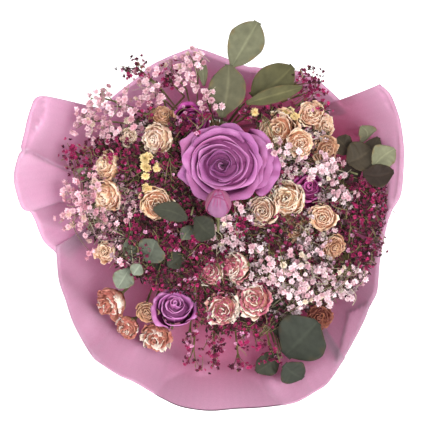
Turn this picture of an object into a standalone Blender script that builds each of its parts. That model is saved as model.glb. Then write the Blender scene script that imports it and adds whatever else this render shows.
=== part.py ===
"""Dried flower bouquet, lying on the lower lip of its paper wrap and on its cut stems.

Sizes are millimetres in the bouquet's own frame: across, up and out, with the middle of the face of
flowers at its origin. An empty tips that frame back, so that the face looks up at a slant, and sets
the lowest points on the floor. Tables of places seen in the picture give pixels, x and y.
"""

import math
import random

import bmesh
import bpy
import numpy as np
from mathutils import Quaternion, Vector
from mathutils.bvhtree import BVHTree

MM = 0.001
MM_PER_PIXEL = 0.75
PICTURE_MIDDLE = 215.0
CLEARANCE = 0.35
SEED = 7

# The bouquet lies back
FACE_TILT = math.radians(38.0)
FACE_HEIGHT = 115.0
UP = Vector((0.0, math.cos(FACE_TILT), math.sin(FACE_TILT)))

# Every stem runs on a line from one point behind the tie, so no two of them cross
TIE = Vector((0.0, 60.3, -180.2))
NARROWING = 0.13
APEX = TIE / (1.0 - NARROWING)
TAIL_LENGTH = 90.0
TAIL_UNEVEN = 7.0
TAIL_SPREAD = 1.9
TAIL_DROOP = 6.1
AIM_SPACING = 25.8
DRAWING_IN = 0.985
DRAWING_ROUNDS = 520
PACKING_ROUNDS = 700
STEM_RADIUS = 1.35
PAST_TIE = 8.0
STEM_MIDDLE = 0.3
FORK = 0.47
JOINS = (0.84, 0.72, 0.92, 0.78)
DETOURS = (0.0, 9.0, 18.0, 28.0)
DETOUR_TURNS = 8
SHOOT_LEAVES = 0.3
SHOOT_CLEARS = 0.7
BRANCH_RADIUS = 1.0
TWIG_RADIUS = 0.75
SPARE_SIDES = 5
SLIM_STARTS = (1.0, 0.7, 0.5)

# A stem bends in under its bloom: length of the bend and how far it turns to the stem's own way
NECK_BENDS = ((11.0, 0.0), (8.0, 0.45), (14.0, 0.3), (6.0, 0.8), (18.0, 0.7), (24.0, 0.9))
NECK_BELOW = 4.0
CUP_LIMIT = 3.4
CUP_SHARE = 0.32

# Leaves
LEAF_STATIONS = (0.0, 0.3, 0.68, 1.0)
LEAF_FULLNESS = 0.7
LEAF_BOW = 0.07
LEAF_WAVE = 0.04
LEAF_SHIFTS = (0, 3, -3, 6, -6, 9, -9, 12, -12, 15, -15, 18, -18, 22, -22, 26)
STALK_LEAD = 4.0
STALK_DROP = 3.0

# The face of flowers is a low dome
DOME_RISE = 30.0
DOME_SPREAD = 430.0

# Paper wrap
PAPER = 0.8
LAYER_STEP = 1.5
WRAP_STRAIGHT = 0.86
WRAP_RADIUS = 142.0
WRAP_LEAN = 35.0
WRAP_RIPPLE = 7.0
WRAP_RIPPLES = 5
WRAP_SAG = 16.0
SAG_START = 0.64
SAG_LENGTH = 0.2
WRAP_STATIONS = (-0.1, 0.0, 0.06, 0.3, 0.56, 0.8, 1.0)
FLAT_HALF_ANGLE = math.radians(34.0)
THROAT = 13.0
WRAP_FLARE = 24.0

# Bindings
TWINE_RADIUS = 1.1
TWINE_TURNS = 3
TWINE_PITCH = 1.8
TWINE_BEHIND = 4.0
TWINE_SEGMENTS = 14
RIBBON_WIDTH = 16.0
RIBBON_THICKNESS = 0.8
RIBBON_SEGMENTS = 16
RIBBON_TAIL = 62.0
RIBBON_TAIL_SPREAD = 20.0
RIBBON_TAIL_ARCH = 5.0
RIBBON_TAIL_DROP = 6.0
KNOT_HEIGHT = 3.6
KNOT_PLACES = (-6.0, -4.0, 0.0, 4.0, 6.0)
KNOT_RADII = (1.5, 3.2, 3.8, 3.2, 1.5)

# Roses: whorls of petals, the groove behind each, and how much a petal's free edge stands out
FOLD = 0.42
BIG_ROSE_WHORLS = 7
SPRAY_ROSE_WHORLS = 3
BIG_ROSE_SQUASH = 0.86
BIG_ROSE_HEIGHT = 1.05
SPRAY_ROSE_HEIGHT = 1.7
WHORLS_REACH = 0.84
GROOVE_SHARE = 0.72
GROOVE_DEPTH = 0.26
BELLY_LEVEL = 0.34
RIM_LEVEL = 0.72
HEART_LEVEL = 0.8
PETAL_CREST = 0.05
PETAL_OVERLAP = 1.35
BASE_SHARE = 0.55

# Balls that hold a bloom: their place along its axis and their radii, as shares
BLOOM_BALLS = ((0.3, 0.7), (0.62, 1.03), (0.8, 0.93))
PARTING_ROUNDS = 120
PARTING_STEP = 0.6

# Peach spray roses: across, up, radius, lean across, lean up
PEACH_ROSES = (
    (-80.5, 36.8, 10.5, -1.3, 0.2),
    (-81.0, 14.2, 11.0, -0.9, -0.6),
    (-81.8, -27.5, 7.5, -0.3, 0.0),
    (-39.4, 72.9, 9.0, 0.0, 0.8),
    (-42.8, 56.6, 11.5, -0.7, -0.2),
    (-43.5, 8.3, 11.5, 0.0, -0.1),
    (49.5, 62.3, 12.0, -0.2, 0.1),
    (63.8, 53.6, 10.5, 0.1, -0.1),
    (72.0, 75.4, 9.0, 0.0, 0.4),
    (81.0, 66.4, 9.0, 0.7, 0.3),
    (81.8, 48.8, 9.5, 0.6, -0.2),
    (54.4, 11.3, 12.5, -0.25, 0.05),
    (35.3, 3.0, 10.0, -0.1, 0.0),
    (60.4, -10.5, 10.5, 0.0, -0.1),
    (80.6, -2.3, 9.5, -0.1, 0.0),
    (88.5, -23.3, 8.5, 0.5, -0.4),
    (15.8, -38.6, 10.5, -1.1, -0.2),
    (-2.3, -43.9, 8.5, -0.7, 0.6),
    (29.3, -63.0, 12.0, -0.2, 0.1),
    (5.3, -69.8, 11.0, 0.0, -0.2),
    (-78.0, -66.0, 11.5, -1.0, -0.9),
    (-66.0, -84.0, 8.5, -0.8, -0.8),
    (-44.3, -91.5, 11.0, -0.3, -0.7),
    (-50.6, -72.8, 7.5, -0.2, -0.2),
    (78.0, -75.8, 9.5, 0.2, -0.3),
    (-64.0, 58.0, 6.5, -0.3, 0.2),
)

# Which of them share a stem, counted from 1
PEACH_STEMS = (
    (1, 2, 3, 6),
    (4, 5, 26),
    (7, 8, 9, 10, 11),
    (12, 13, 14, 15),
    (16, 25),
    (17, 18, 19, 20),
    (21, 22, 23, 24),
)

# Mauve blooms: across, up, radius, lean across, lean up
MAUVE_ROSES = {
    "mauve_rose_low": (-30.0, -69.8, 13.0, 0.1, 0.7),
    "mauve_rose_right": (72.0, 19.5, 10.0, -0.3, 0.4),
    "mauve_rose_top": (-18.8, 69.8, 11.0, 0.3, -0.1),
    "mauve_bud": (2.3, 9.8, 9.0, 0.0, 1.2),
}
BIG_ROSE = (9.8, 40.5, 36.0, -0.15, -0.1)
BUD_HEIGHT = 24.0
BEHIND = {"mauve_rose_right": -8.0, "mauve_rose_top": -6.0, "mauve_bud": 9.0, "big_rose": 4.0}

# Leaves: base pixel, tip pixel, width, out at the base, out at the tip, width's balance, cup
LEAVES = {
    "leafy_stem_top": (
        ((231, 68), (258, 21), 27.0, -6.0, 8.0, 1.25, 2.0),
        ((222, 118), (229, 65), 28.0, -4.0, 6.0, 1.1, 2.0),
        ((252, 97), (293, 66), 28.0, -8.0, 2.0, 1.0, 2.5),
        ((246, 104), (303, 87), 11.0, 4.0, 6.0, 1.0, 1.5),
        ((258, 134), (282, 109), 9.0, -34.0, -8.0, 1.0, 1.2),
        ((204, 86), (202, 58), 7.0, -8.0, 0.0, 1.0, 1.0),
    ),
    "leafy_stem_left": (
        ((95, 176), (77, 170), 8.0, -4.0, 0.0, 1.0, 1.0),
        ((142, 246), (124, 254), 14.0, -6.0, 0.0, 1.1, 1.5),
        ((141, 264), (134, 274), 8.0, 6.0, 12.0, 1.0, 1.0),
        ((130, 268), (118, 288), 13.0, -6.0, 2.0, 1.1, 1.5),
        ((148, 262), (156, 240), 16.0, -2.0, 6.0, 1.1, 1.5),
    ),
    "leafy_stem_middle": (
        ((188, 219), (154, 209), 12.0, 2.0, 8.0, 1.0, 1.5),
        ((193, 226), (182, 239), 9.0, 0.0, 6.0, 1.0, 1.0),
        ((195, 218), (214, 236), 16.0, 0.0, 8.0, 1.1, 2.0),
        ((184, 254), (168, 266), 10.0, -4.0, 2.0, 1.0, 1.0),
    ),
    "leafy_stem_right": (
        ((347, 163), (371, 149), 19.0, 2.0, 10.0, 1.1, 2.0),
        ((373, 166), (394, 149), 17.0, 4.0, 18.0, 1.0, 1.5),
        ((362, 143), (361, 126), 13.0, -4.0, 6.0, 1.1, 1.5),
        ((362, 174), (393, 172), 13.0, 0.0, 14.0, 1.0, 1.5),
        ((351, 152), (337, 138), 12.0, -4.0, 4.0, 1.0, 1.5),
    ),
    "leafy_stem_low": (
        ((285, 355), (317, 321), 37.0, -4.0, 8.0, 1.05, 3.0),
        ((281, 338), (270, 293), 18.0, -10.0, 0.0, 1.0, 2.0),
        ((284, 364), (303, 378), 14.0, -8.0, -4.0, 1.0, 1.5),
        ((278, 354), (256, 372), 12.0, -6.0, 0.0, 1.0, 1.5),
    ),
}

# Florets of gypsophila: pixel, how many, spread
GYPSOPHILA = {
    "gypsophila_top_left": (
        (98, 97, 4, 6.0),
        (87, 120, 5, 7.0),
        (106, 131, 4, 7.0),
        (117, 108, 3, 7.0),
        (133, 120, 3, 7.0),
        (153, 92, 4, 7.0),
        (148, 73, 2, 6.0),
        (193, 60, 6, 8.0),
        (179, 76, 3, 5.0),
        (209, 101, 5, 7.0),
    ),
    "gypsophila_left": (
        (77, 196, 5, 8.0),
        (71, 219, 4, 7.0),
        (94, 179, 2, 4.0),
        (91, 212, 2, 6.0),
        (124, 241, 2, 6.0),
    ),
    "gypsophila_right": (
        (279, 154, 5, 7.0),
        (311, 172, 5, 8.0),
        (328, 168, 6, 8.0),
        (342, 195, 4, 7.0),
    ),
    "gypsophila_low_right": (
        (298, 290, 6, 7.0),
        (323, 295, 5, 8.0),
        (352, 277, 5, 9.0),
        (303, 272, 5, 9.0),
        (304, 252, 4, 8.0),
        (330, 271, 2, 5.0),
        (352, 297, 2, 4.0),
        (268, 271, 5, 9.0),
    ),
    "gypsophila_middle": (
        (238, 213, 2, 4.0),
        (230, 233, 6, 8.0),
        (254, 245, 2, 5.0),
    ),
}

# Wine-red florets of statice: pixel, how many, spread
STATICE = {
    "statice_top_left": (
        (71, 156, 5, 8.0),
        (87, 149, 3, 5.0),
        (86, 177, 2, 4.0),
        (114, 150, 5, 8.0),
        (127, 152, 4, 6.0),
        (101, 140, 2, 4.0),
        (135, 66, 4, 7.0),
        (168, 76, 3, 6.0),
        (148, 111, 2, 4.0),
    ),
    "statice_right": (
        (309, 77, 6, 8.0),
        (311, 90, 5, 7.0),
        (317, 101, 4, 6.0),
        (350, 182, 4, 7.0),
        (371, 190, 5, 8.0),
        (373, 215, 4, 8.0),
        (374, 247, 4, 8.0),
        (356, 258, 3, 7.0),
    ),
    "statice_middle": (
        (208, 117, 2, 4.0),
        (248, 110, 3, 7.0),
        (266, 112, 2, 5.0),
        (168, 157, 4, 6.0),
        (191, 122, 3, 5.0),
        (241, 225, 5, 6.0),
        (192, 212, 3, 5.0),
        (175, 226, 4, 6.0),
        (172, 241, 5, 7.0),
        (191, 248, 4, 7.0),
        (214, 257, 4, 7.0),
        (274, 240, 3, 8.0),
        (138, 231, 4, 7.0),
    ),
    "statice_low": (
        (156, 277, 3, 5.0),
        (192, 275, 4, 7.0),
        (191, 340, 3, 6.0),
        (206, 324, 4, 7.0),
        (216, 342, 5, 7.0),
        (214, 358, 5, 6.0),
        (192, 364, 3, 6.0),
        (242, 340, 4, 5.0),
        (259, 343, 3, 6.0),
        (241, 366, 4, 5.0),
        (272, 357, 3, 6.0),
    ),
}

# Cream buds: pixel, how many, spread
CREAM = {
    "cream_spray": (
        (151, 166, 4, 8.0),
        (148, 187, 1, 2.0),
        (290, 114, 2, 4.0),
        (254, 114, 1, 2.0),
    ),
}

SPRAYS = {"gypsophila": GYPSOPHILA, "statice": STATICE, "cream": CREAM}

# Floret radius, floret length, share of the florets modelled, out of the dome, twig's reach
FLORET_KINDS = {
    "gypsophila": (2.1, 3.4, 0.62, 5.0, 20.0),
    "statice": (1.7, 4.0, 0.55, 3.0, 17.0),
    "cream": (2.9, 5.0, 1.0, 2.0, 15.0),
}
SET_BACK = {"statice_right": -4.0}
FLORETS_PER_TWIG = 3
FLORET_STALK_RADIUS = 0.7
FLORET_SHIFTS = (0, 4, -4, 8, -8, 12, -12, 16, -17, -22)
FLORET_ASIDE = (0.0, 3.0, 6.0)
FLORET_UNEVEN = 3.0
UMBEL_BACKS = (0.75, 1.1, 0.5, 1.5, 2.0)

# The paper's edge in the picture, and each sheet's place in the stack
SHEETS = {
    "wrap_bottom": (
        0,
        (
            (56, 246), (57, 264), (59, 282), (65, 299), (74, 325), (92, 356), (104, 366), (120, 376),
            (134, 382), (159, 397), (178, 406), (197, 410), (214, 411), (236, 409), (256, 408), (274, 406),
            (297, 402), (315, 392), (328, 383), (345, 358),
        ),
    ),
    "wrap_right": (
        1,
        (
            (344, 358), (357, 335), (365, 319), (370, 306), (377, 292), (380, 260), (389, 220), (401, 197),
            (404, 170), (404, 145), (400, 119), (391, 95), (380, 84),
        ),
    ),
    "wrap_left_top": (
        2,
        (
            (343, 103), (327, 88), (313, 77), (294, 71), (252, 68), (232, 61), (197, 49), (178, 53), (152, 65),
            (136, 79), (120, 91), (100, 107), (92, 106), (41.6, 96), (30.5, 109), (21, 145), (14, 172),
            (14, 188), (21, 209), (32, 217), (43, 241), (55.5, 253),
        ),
    ),
}

COLOURS = {
    "big_rose": (0.48, 0.14, 0.42),
    "mauve": (0.42, 0.10, 0.34),
    "peach": (0.78, 0.56, 0.36),
    "rose_stem": (0.16, 0.15, 0.07),
    "leaf": (0.16, 0.19, 0.11),
    "gypsophila": (0.78, 0.50, 0.56),
    "statice": (0.22, 0.02, 0.06),
    "cream": (0.74, 0.60, 0.28),
    "paper": (0.66, 0.36, 0.54),
    "twine": (0.45, 0.32, 0.18),
    "ribbon": (0.70, 0.45, 0.60),
}


def clear_scene():
    """Remove whatever the file opened with."""
    for item in list(bpy.data.objects):
        bpy.data.objects.remove(item, do_unlink=True)


def at(x, y, out=0.0):
    """A point of the face frame, in millimetres, from a pixel of the picture."""
    return Vector(((x - PICTURE_MIDDLE) * MM_PER_PIXEL, (PICTURE_MIDDLE - y) * MM_PER_PIXEL, out))


def dome(across, up):
    """How far out the face of flowers stands."""
    return DOME_RISE - (across * across + up * up) / DOME_SPREAD


def ray(target, share):
    """A point on the line from the apex to a target."""
    return APEX + (target - APEX) * share


def ease(value):
    """A smooth step from 0 to 1."""
    value = min(1.0, max(0.0, value))
    return value * value * (3.0 - 2.0 * value)


def segment_gaps(starts, ends, other_starts, other_ends):
    """Shortest distance between each segment of one set and each of another."""
    along = (ends - starts)[:, None]
    other = (other_ends - other_starts)[None]
    between = starts[:, None] - other_starts[None]
    a = (along * along).sum(-1)
    b = (along * other).sum(-1)
    c = (along * between).sum(-1)
    e = np.maximum((other * other).sum(-1), 1e-9)
    f = (other * between).sum(-1)
    slant = a * e - b * b
    s = np.where(slant > 1e-9, np.clip((b * f - c * e) / np.maximum(slant, 1e-9), 0.0, 1.0), 0.0)
    t = np.clip((b * s + f) / e, 0.0, 1.0)
    s = np.clip((b * t - c) / np.maximum(a, 1e-9), 0.0, 1.0)
    gap = between + along * s[..., None] - other * t[..., None]
    return np.sqrt((gap * gap).sum(-1))


class Space:
    """What is taken so far, as round-ended bars, each with the piece that owns it."""

    def __init__(self):
        self.starts = np.zeros((0, 3))
        self.ends = np.zeros((0, 3))
        self.radii = np.zeros(0)
        self.owners = np.zeros(0, dtype=object)

    def take(self, owner, points, radius):
        """Add a chain of bars of one radius. One point alone is a ball."""
        chain = np.array([list(p) for p in points])
        starts = chain[:-1] if len(chain) > 1 else chain
        ends = chain[1:] if len(chain) > 1 else chain
        self.starts = np.vstack((self.starts, starts))
        self.ends = np.vstack((self.ends, ends))
        self.radii = np.append(self.radii, [radius] * len(starts))
        self.owners = np.append(self.owners, [owner] * len(starts))

    def room(self, owners, points, radius):
        """The least gap between a new chain and everything that other owners hold, and the wrap."""
        chain = np.array([list(p) for p in points])
        starts = chain[:-1] if len(chain) > 1 else chain
        ends = chain[1:] if len(chain) > 1 else chain
        others = ~np.isin(self.owners, list(owners))
        gap = min(wrap_room(p) for p in points) - radius
        if others.any():
            gaps = segment_gaps(starts, ends, self.starts[others], self.ends[others])
            gap = min(gap, (gaps - self.radii[others][None]).min() - radius)
        return gap


def skin(bm, rings):
    """Close a body through rings of points. A ring of one point is a pole, any other end is flat."""
    rows = [[bm.verts.new(point) for point in ring] for ring in rings]
    for low, high in zip(rows, rows[1:]):
        count = max(len(low), len(high))
        for i in range(count):
            j = (i + 1) % count
            corners = (low[i % len(low)], low[j % len(low)], high[j % len(high)], high[i % len(high)])
            bm.faces.new(list(dict.fromkeys(corners)))
    for end in (rows[0], rows[-1]):
        if len(end) > 2:
            bm.faces.new(end)


def bar(points, radii, sides, faces_to=None):
    """Rings of a round bar that follows a line of points, the last one turned to face a place."""
    rings = []
    side = None
    for k, point in enumerate(points):
        axis = (points[min(k + 1, len(points) - 1)] - points[max(k - 1, 0)]).normalized()
        if faces_to is not None and k == len(points) - 1:
            axis = (faces_to - point).normalized()
        side = axis.orthogonal() if side is None else side - axis * side.dot(axis)
        side.normalize()
        across = axis.cross(side)
        ring = []
        for i in range(sides):
            angle = math.tau * i / sides
            ring.append(point + (side * math.cos(angle) + across * math.sin(angle)) * radii[k])
        rings.append(ring if radii[k] > 0.0 else [point])
    return rings


def shell(bm, top, bottom):
    """Close a thin sheet between two grids of points, split alike on both faces."""
    upper = [[bm.verts.new(point) for point in row] for row in top]
    lower = [[bm.verts.new(point) for point in row] for row in bottom]
    for i in range(len(top) - 1):
        for j in range(len(top[0]) - 1):
            for a, b, c in (((0, 0), (1, 0), (1, 1)), ((0, 0), (1, 1), (0, 1))):
                places = [(i + di, j + dj) for di, dj in (a, b, c)]
                bm.faces.new([upper[r][s] for r, s in places])
                bm.faces.new([lower[r][s] for r, s in reversed(places)])
    edge = [(0, j) for j in range(len(top[0]))]
    edge += [(i, len(top[0]) - 1) for i in range(1, len(top))]
    edge += [(len(top) - 1, j) for j in range(len(top[0]) - 2, -1, -1)]
    edge += [(i, 0) for i in range(len(top) - 2, 0, -1)]
    for (a, b), (c, d) in zip(edge, edge[1:] + edge[:1]):
        bm.faces.new((upper[a][b], upper[c][d], lower[c][d], lower[a][b]))


def make_object(name, bm, face, kind, roughness=0.8):
    """Turn a mesh in millimetres into a named object under the face's empty, with its own material."""
    bmesh.ops.triangulate(bm, faces=bm.faces)
    bmesh.ops.recalc_face_normals(bm, faces=bm.faces)
    if bm.calc_volume(signed=True) < 0.0:
        bmesh.ops.reverse_faces(bm, faces=bm.faces)
    bmesh.ops.scale(bm, vec=(MM, MM, MM), verts=bm.verts)
    mesh = bpy.data.meshes.new(name)
    bm.to_mesh(mesh)
    bm.free()
    item = bpy.data.objects.new(name, mesh)
    bpy.context.scene.collection.objects.link(item)
    item.parent = face
    material = bpy.data.materials.new(name)
    material.use_nodes = True
    shader = material.node_tree.nodes["Principled BSDF"]
    shader.inputs["Base Color"].default_value = (*COLOURS[kind], 1.0)
    shader.inputs["Roughness"].default_value = roughness
    shader.inputs["Metallic"].default_value = 0.0
    mesh.materials.append(material)
    return item


def make_fused(name, bodies, face, kind):
    """Join closed bodies, each given as a function that draws it, into one named object."""
    group = bpy.data.collections.new(name)
    bpy.context.scene.collection.children.link(group)
    base = None
    for draw in bodies:
        bm = bmesh.new()
        draw(bm)
        item = make_object(name, bm, face, kind)
        if base is None:
            base = item
            continue
        bpy.context.scene.collection.objects.unlink(item)
        group.objects.link(item)
    union = base.modifiers.new("union", "BOOLEAN")
    union.operation = "UNION"
    union.operand_type = "COLLECTION"
    union.collection = group
    view = bpy.context.evaluated_depsgraph_get()
    fused = bpy.data.meshes.new_from_object(base.evaluated_get(view))
    base.modifiers.clear()
    bm = bmesh.new()
    bm.from_mesh(fused)
    bmesh.ops.dissolve_degenerate(bm, dist=1e-5, edges=bm.edges)
    bmesh.ops.triangulate(bm, faces=bm.faces)
    bm.to_mesh(base.data)
    bm.free()
    for item in list(group.objects):
        bpy.data.objects.remove(item, do_unlink=True)
    bpy.data.collections.remove(group)
    base.name = name
    return base


def wrap_spread(share):
    """The wrap's radius, from its throat at 0 to its rim at 1."""
    if share < 0.0:
        return THROAT - WRAP_FLARE * share
    opening = WRAP_STRAIGHT * share + (1.0 - WRAP_STRAIGHT) * share ** 3
    return THROAT + (WRAP_RADIUS - THROAT) * opening


def wrap_out(angle):
    """How far out of the face's plane the rim waves, at an angle round the wrap."""
    top = max(0.0, math.sin(angle))
    low = max(0.0, -math.sin(angle))
    wave = math.sin(WRAP_RIPPLES * angle + 0.6)
    return -WRAP_LEAN * top * top + WRAP_RIPPLE * (1.0 - low) * wave


def wrap_point(angle, share):
    """A point of the wrap's middle surface, which every sheet follows."""
    spread = wrap_spread(share)
    middle = TIE * (1.0 - share)
    out = wrap_out(angle) * max(0.0, share)
    point = middle + Vector((spread * math.cos(angle), spread * math.sin(angle), out))
    off_floor = math.remainder(angle + math.pi / 2, math.tau) / FLAT_HALF_ANGLE
    if abs(off_floor) < 1.0:
        sag = WRAP_SAG * ease((share - SAG_START) / SAG_LENGTH) * ease(1.4 * (1.0 - abs(off_floor)))
        point -= UP * sag
    return point


def wrap_normal(angle, share):
    """The way out of the wrap."""
    step = 0.01
    round_it = wrap_point(angle + step, share) - wrap_point(angle - step, share)
    along_it = wrap_point(angle, share + step) - wrap_point(angle, share - step)
    return round_it.cross(along_it).normalized()


def wrap_place(target):
    """The angle and share at which the wrap is seen at a point of the picture."""
    low, high = 0.0, 1.4
    for _ in range(30):
        share = (low + high) / 2
        middle = TIE * (1.0 - share)
        if math.hypot(target.x - middle.x, target.y - middle.y) > wrap_spread(share):
            low = share
        else:
            high = share
    return math.atan2(target.y - middle.y, target.x - middle.x) % math.tau, share


def wrap_room(point):
    """Room between a point and the paper that surrounds it."""
    share = 1.0
    angle = 0.0
    for _ in range(4):
        middle = TIE.y * (1.0 - share)
        angle = math.atan2(point[1] - middle, point[0])
        share = (point[2] - TIE.z) / (wrap_out(angle) - TIE.z)
    if share < 0.2 or share > 1.02:
        return 1e3
    middle = TIE.y * (1.0 - share)
    reach = math.hypot(point[0], point[1] - middle)
    return (wrap_spread(share) - reach) * 0.75 - PAPER


def floor_gap(point):
    """Height above the floor."""
    return point.dot(UP) + FACE_HEIGHT


def make_wrap(name, face):
    """One sheet of paper, from behind the tie to its edge in the picture."""
    layer, edge = SHEETS[name]
    places = sorted(wrap_place(at(x, y)) for x, y in edge)
    if name == "wrap_right":
        places = sorted(((angle + math.pi) % math.tau, share) for angle, share in places)
        places = [(angle - math.pi, share) for angle, share in places]
    outer = []
    inner = []
    for angle, rim in places:
        outer_row = []
        inner_row = []
        for station in WRAP_STATIONS:
            share = station if station < 0.1 else 0.1 + (station - 0.1) * (rim - 0.1) / 0.9
            middle = wrap_point(angle, share)
            normal = wrap_normal(angle, share)
            outside = middle + normal * (layer * LAYER_STEP + PAPER / 2)
            inside = middle + normal * (layer * LAYER_STEP - PAPER / 2)
            outside += UP * max(0.0, -floor_gap(outside))
            inside += UP * max(0.0, PAPER - floor_gap(inside))
            outer_row.append(outside)
            inner_row.append(inside)
        outer.append(outer_row)
        inner.append(inner_row)
    bm = bmesh.new()
    shell(bm, outer, inner)
    return make_object(name, bm, face, "paper", 0.85)


def rose_rings(radius, height, whorls, petals, samples, squash=1.0):
    """Rings of a rose: whorls of overlapping petals round a heart, with a groove between whorls."""
    rings = [[Vector((0.0, 0.0, 0.0))]]
    step = WHORLS_REACH / whorls

    def ring(share, level, whorl, lift=0.0):
        points = []
        for i in range(samples):
            place = ((i + whorl) % samples) * petals / samples % 1.0
            edge = math.sin(math.pi * min(1.0, place * PETAL_OVERLAP))
            fold = 1.0 + FOLD * step * (edge - 0.6)
            angle = math.tau * i / samples
            rise = level + lift * math.sin(math.pi * place)
            x = share * fold * radius * math.cos(angle)
            y = share * fold * radius * math.sin(angle) * squash
            points.append(Vector((x, y, rise * height)))
        return points

    rings.append(ring(1.0 - step / 2, BELLY_LEVEL, 0))
    for whorl in range(whorls):
        rim = 1.0 - step * whorl
        level = RIM_LEVEL + (1.0 - RIM_LEVEL) * (whorl / max(1, whorls - 1)) ** 0.8
        rings.append(ring(rim, level, whorl, PETAL_CREST))
        if whorl < whorls - 1:
            rings.append(ring(rim - step * GROOVE_SHARE, level - GROOVE_DEPTH, whorl))
    rings.append([Vector((0.0, 0.0, HEART_LEVEL * height))])
    return rings


class Bloom:
    """One bloom: where it is, which way it looks, and its size."""

    def __init__(self, name, entry, height_share=SPRAY_ROSE_HEIGHT):
        across, up, self.radius, lean_across, lean_up = entry
        self.name = name
        self.height = self.radius * height_share
        self.axis = Vector((lean_across, lean_up, 1.0)).normalized()
        self.middle = Vector((across, up, dome(across, up) + BEHIND.get(name, 0.0)))

    def base(self):
        """Where the stem meets it."""
        return self.middle - self.axis * self.height * BASE_SHARE

    def balls(self):
        """Balls that hold the whole bloom: middles and radii."""
        return [(self.base() + self.axis * self.height * a, self.radius * r) for a, r in BLOOM_BALLS]


def make_blooms():
    """All blooms, moved out or back along the view until they clear each other."""
    blooms = {"big_rose": Bloom("big_rose", BIG_ROSE, BIG_ROSE_HEIGHT)}
    for name, entry in MAUVE_ROSES.items():
        blooms[name] = Bloom(name, entry)
    blooms["mauve_bud"].height = BUD_HEIGHT
    for number, entry in enumerate(PEACH_ROSES, 1):
        name = "peach_rose_%02d" % number
        blooms[name] = Bloom(name, entry)
    order = list(blooms.values())
    for _ in range(PARTING_ROUNDS):
        for i, one in enumerate(order):
            for other in order[i + 1:]:
                part_blooms(one, other)
    return blooms


def part_blooms(one, other):
    """Move two blooms apart, out and back, by what their balls overlap."""
    worst = 0.0
    for place, radius in one.balls():
        for other_place, other_radius in other.balls():
            flat = math.hypot(place.x - other_place.x, place.y - other_place.y)
            need = radius + other_radius + CLEARANCE
            if flat < need:
                lift = math.sqrt(need * need - flat * flat) - abs(place.z - other_place.z)
                worst = max(worst, lift)
    if worst <= 0.0:
        return
    way = 1.0 if one.middle.z >= other.middle.z else -1.0
    weight = other.radius / (one.radius + other.radius)
    one.middle.z += way * min(worst, PARTING_STEP) * weight
    other.middle.z -= way * min(worst, PARTING_STEP) * (1.0 - weight)


def make_bloom(bloom, face, draw):
    """The bloom's mesh, set on its base and turned to its axis."""
    big = bloom.name == "big_rose"
    petals = 5 if big else 4 if bloom.radius > 8.0 else 3
    samples = petals * (4 if big else 3)
    whorls = BIG_ROSE_WHORLS if big else SPRAY_ROSE_WHORLS
    squash = BIG_ROSE_SQUASH if big else 1.0
    bm = bmesh.new()
    skin(bm, rose_rings(bloom.radius, bloom.height, whorls, petals, samples, squash))
    kind = "big_rose" if big else "peach" if bloom.name.startswith("peach") else "mauve"
    item = make_object(bloom.name, bm, face, kind)
    item.location = bloom.base() * MM
    item.rotation_mode = "QUATERNION"
    spin = 0.0 if big else draw.uniform(0.0, math.tau)
    turned = Vector((0.0, 0.0, 1.0)).rotation_difference(bloom.axis)
    item.rotation_quaternion = turned @ Quaternion((0.0, 0.0, 1.0), spin)
    return item


def pack_aims(wishes):
    """Aim points of the stems in the face's plane, drawn in until they all but touch at the tie."""
    aims = [Vector((w.x, w.y, 0.0)) for w in wishes]
    for round_number in range(PACKING_ROUNDS):
        if round_number < DRAWING_ROUNDS:
            for aim in aims:
                aim *= DRAWING_IN
        for i, one in enumerate(aims):
            for other in aims[i + 1:]:
                apart = one - other
                lack = AIM_SPACING - apart.length
                if lack > 0.0:
                    push = apart.normalized() * lack * 0.5
                    one += push
                    other -= push
    return aims


class Stem:
    """A main stem, from its cut end to the top where its shoots fan out."""

    def __init__(self, name, aim, draw):
        self.name = name
        self.aim = aim
        self.length = TAIL_LENGTH + draw.uniform(-TAIL_UNEVEN, TAIL_UNEVEN)
        self.shoots = []
        self.owners = {name}

    def line(self):
        """Points from the cut end through the tie to the top."""
        tie = ray(self.aim, NARROWING)
        back = TIE.normalized()
        end = TIE + (tie - TIE) * TAIL_SPREAD + back * self.length - UP * TAIL_DROOP
        return [end, tie + back * PAST_TIE, tie, ray(self.aim, STEM_MIDDLE), ray(self.aim, FORK)]

    def leave(self, point):
        """A point a little way along the line from the top of the stem to a shoot's first point."""
        return ray(self.aim, FORK).lerp(point, SHOOT_LEAVES)

    def root(self, point):
        """The stretch that a shoot takes up next to the top of the stem."""
        return [ray(self.aim, FORK), ray(self.aim, FORK).lerp(point, SHOOT_CLEARS)]


class Shoot:
    """A branch of a stem: its points after the fork, its radii, and what closes its end."""

    def __init__(self, points, radii, finish, faces_to=None):
        self.points = points
        self.radii = radii
        self.finish = finish
        self.faces_to = faces_to or points[-1] * 2.0 - points[-2]


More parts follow.
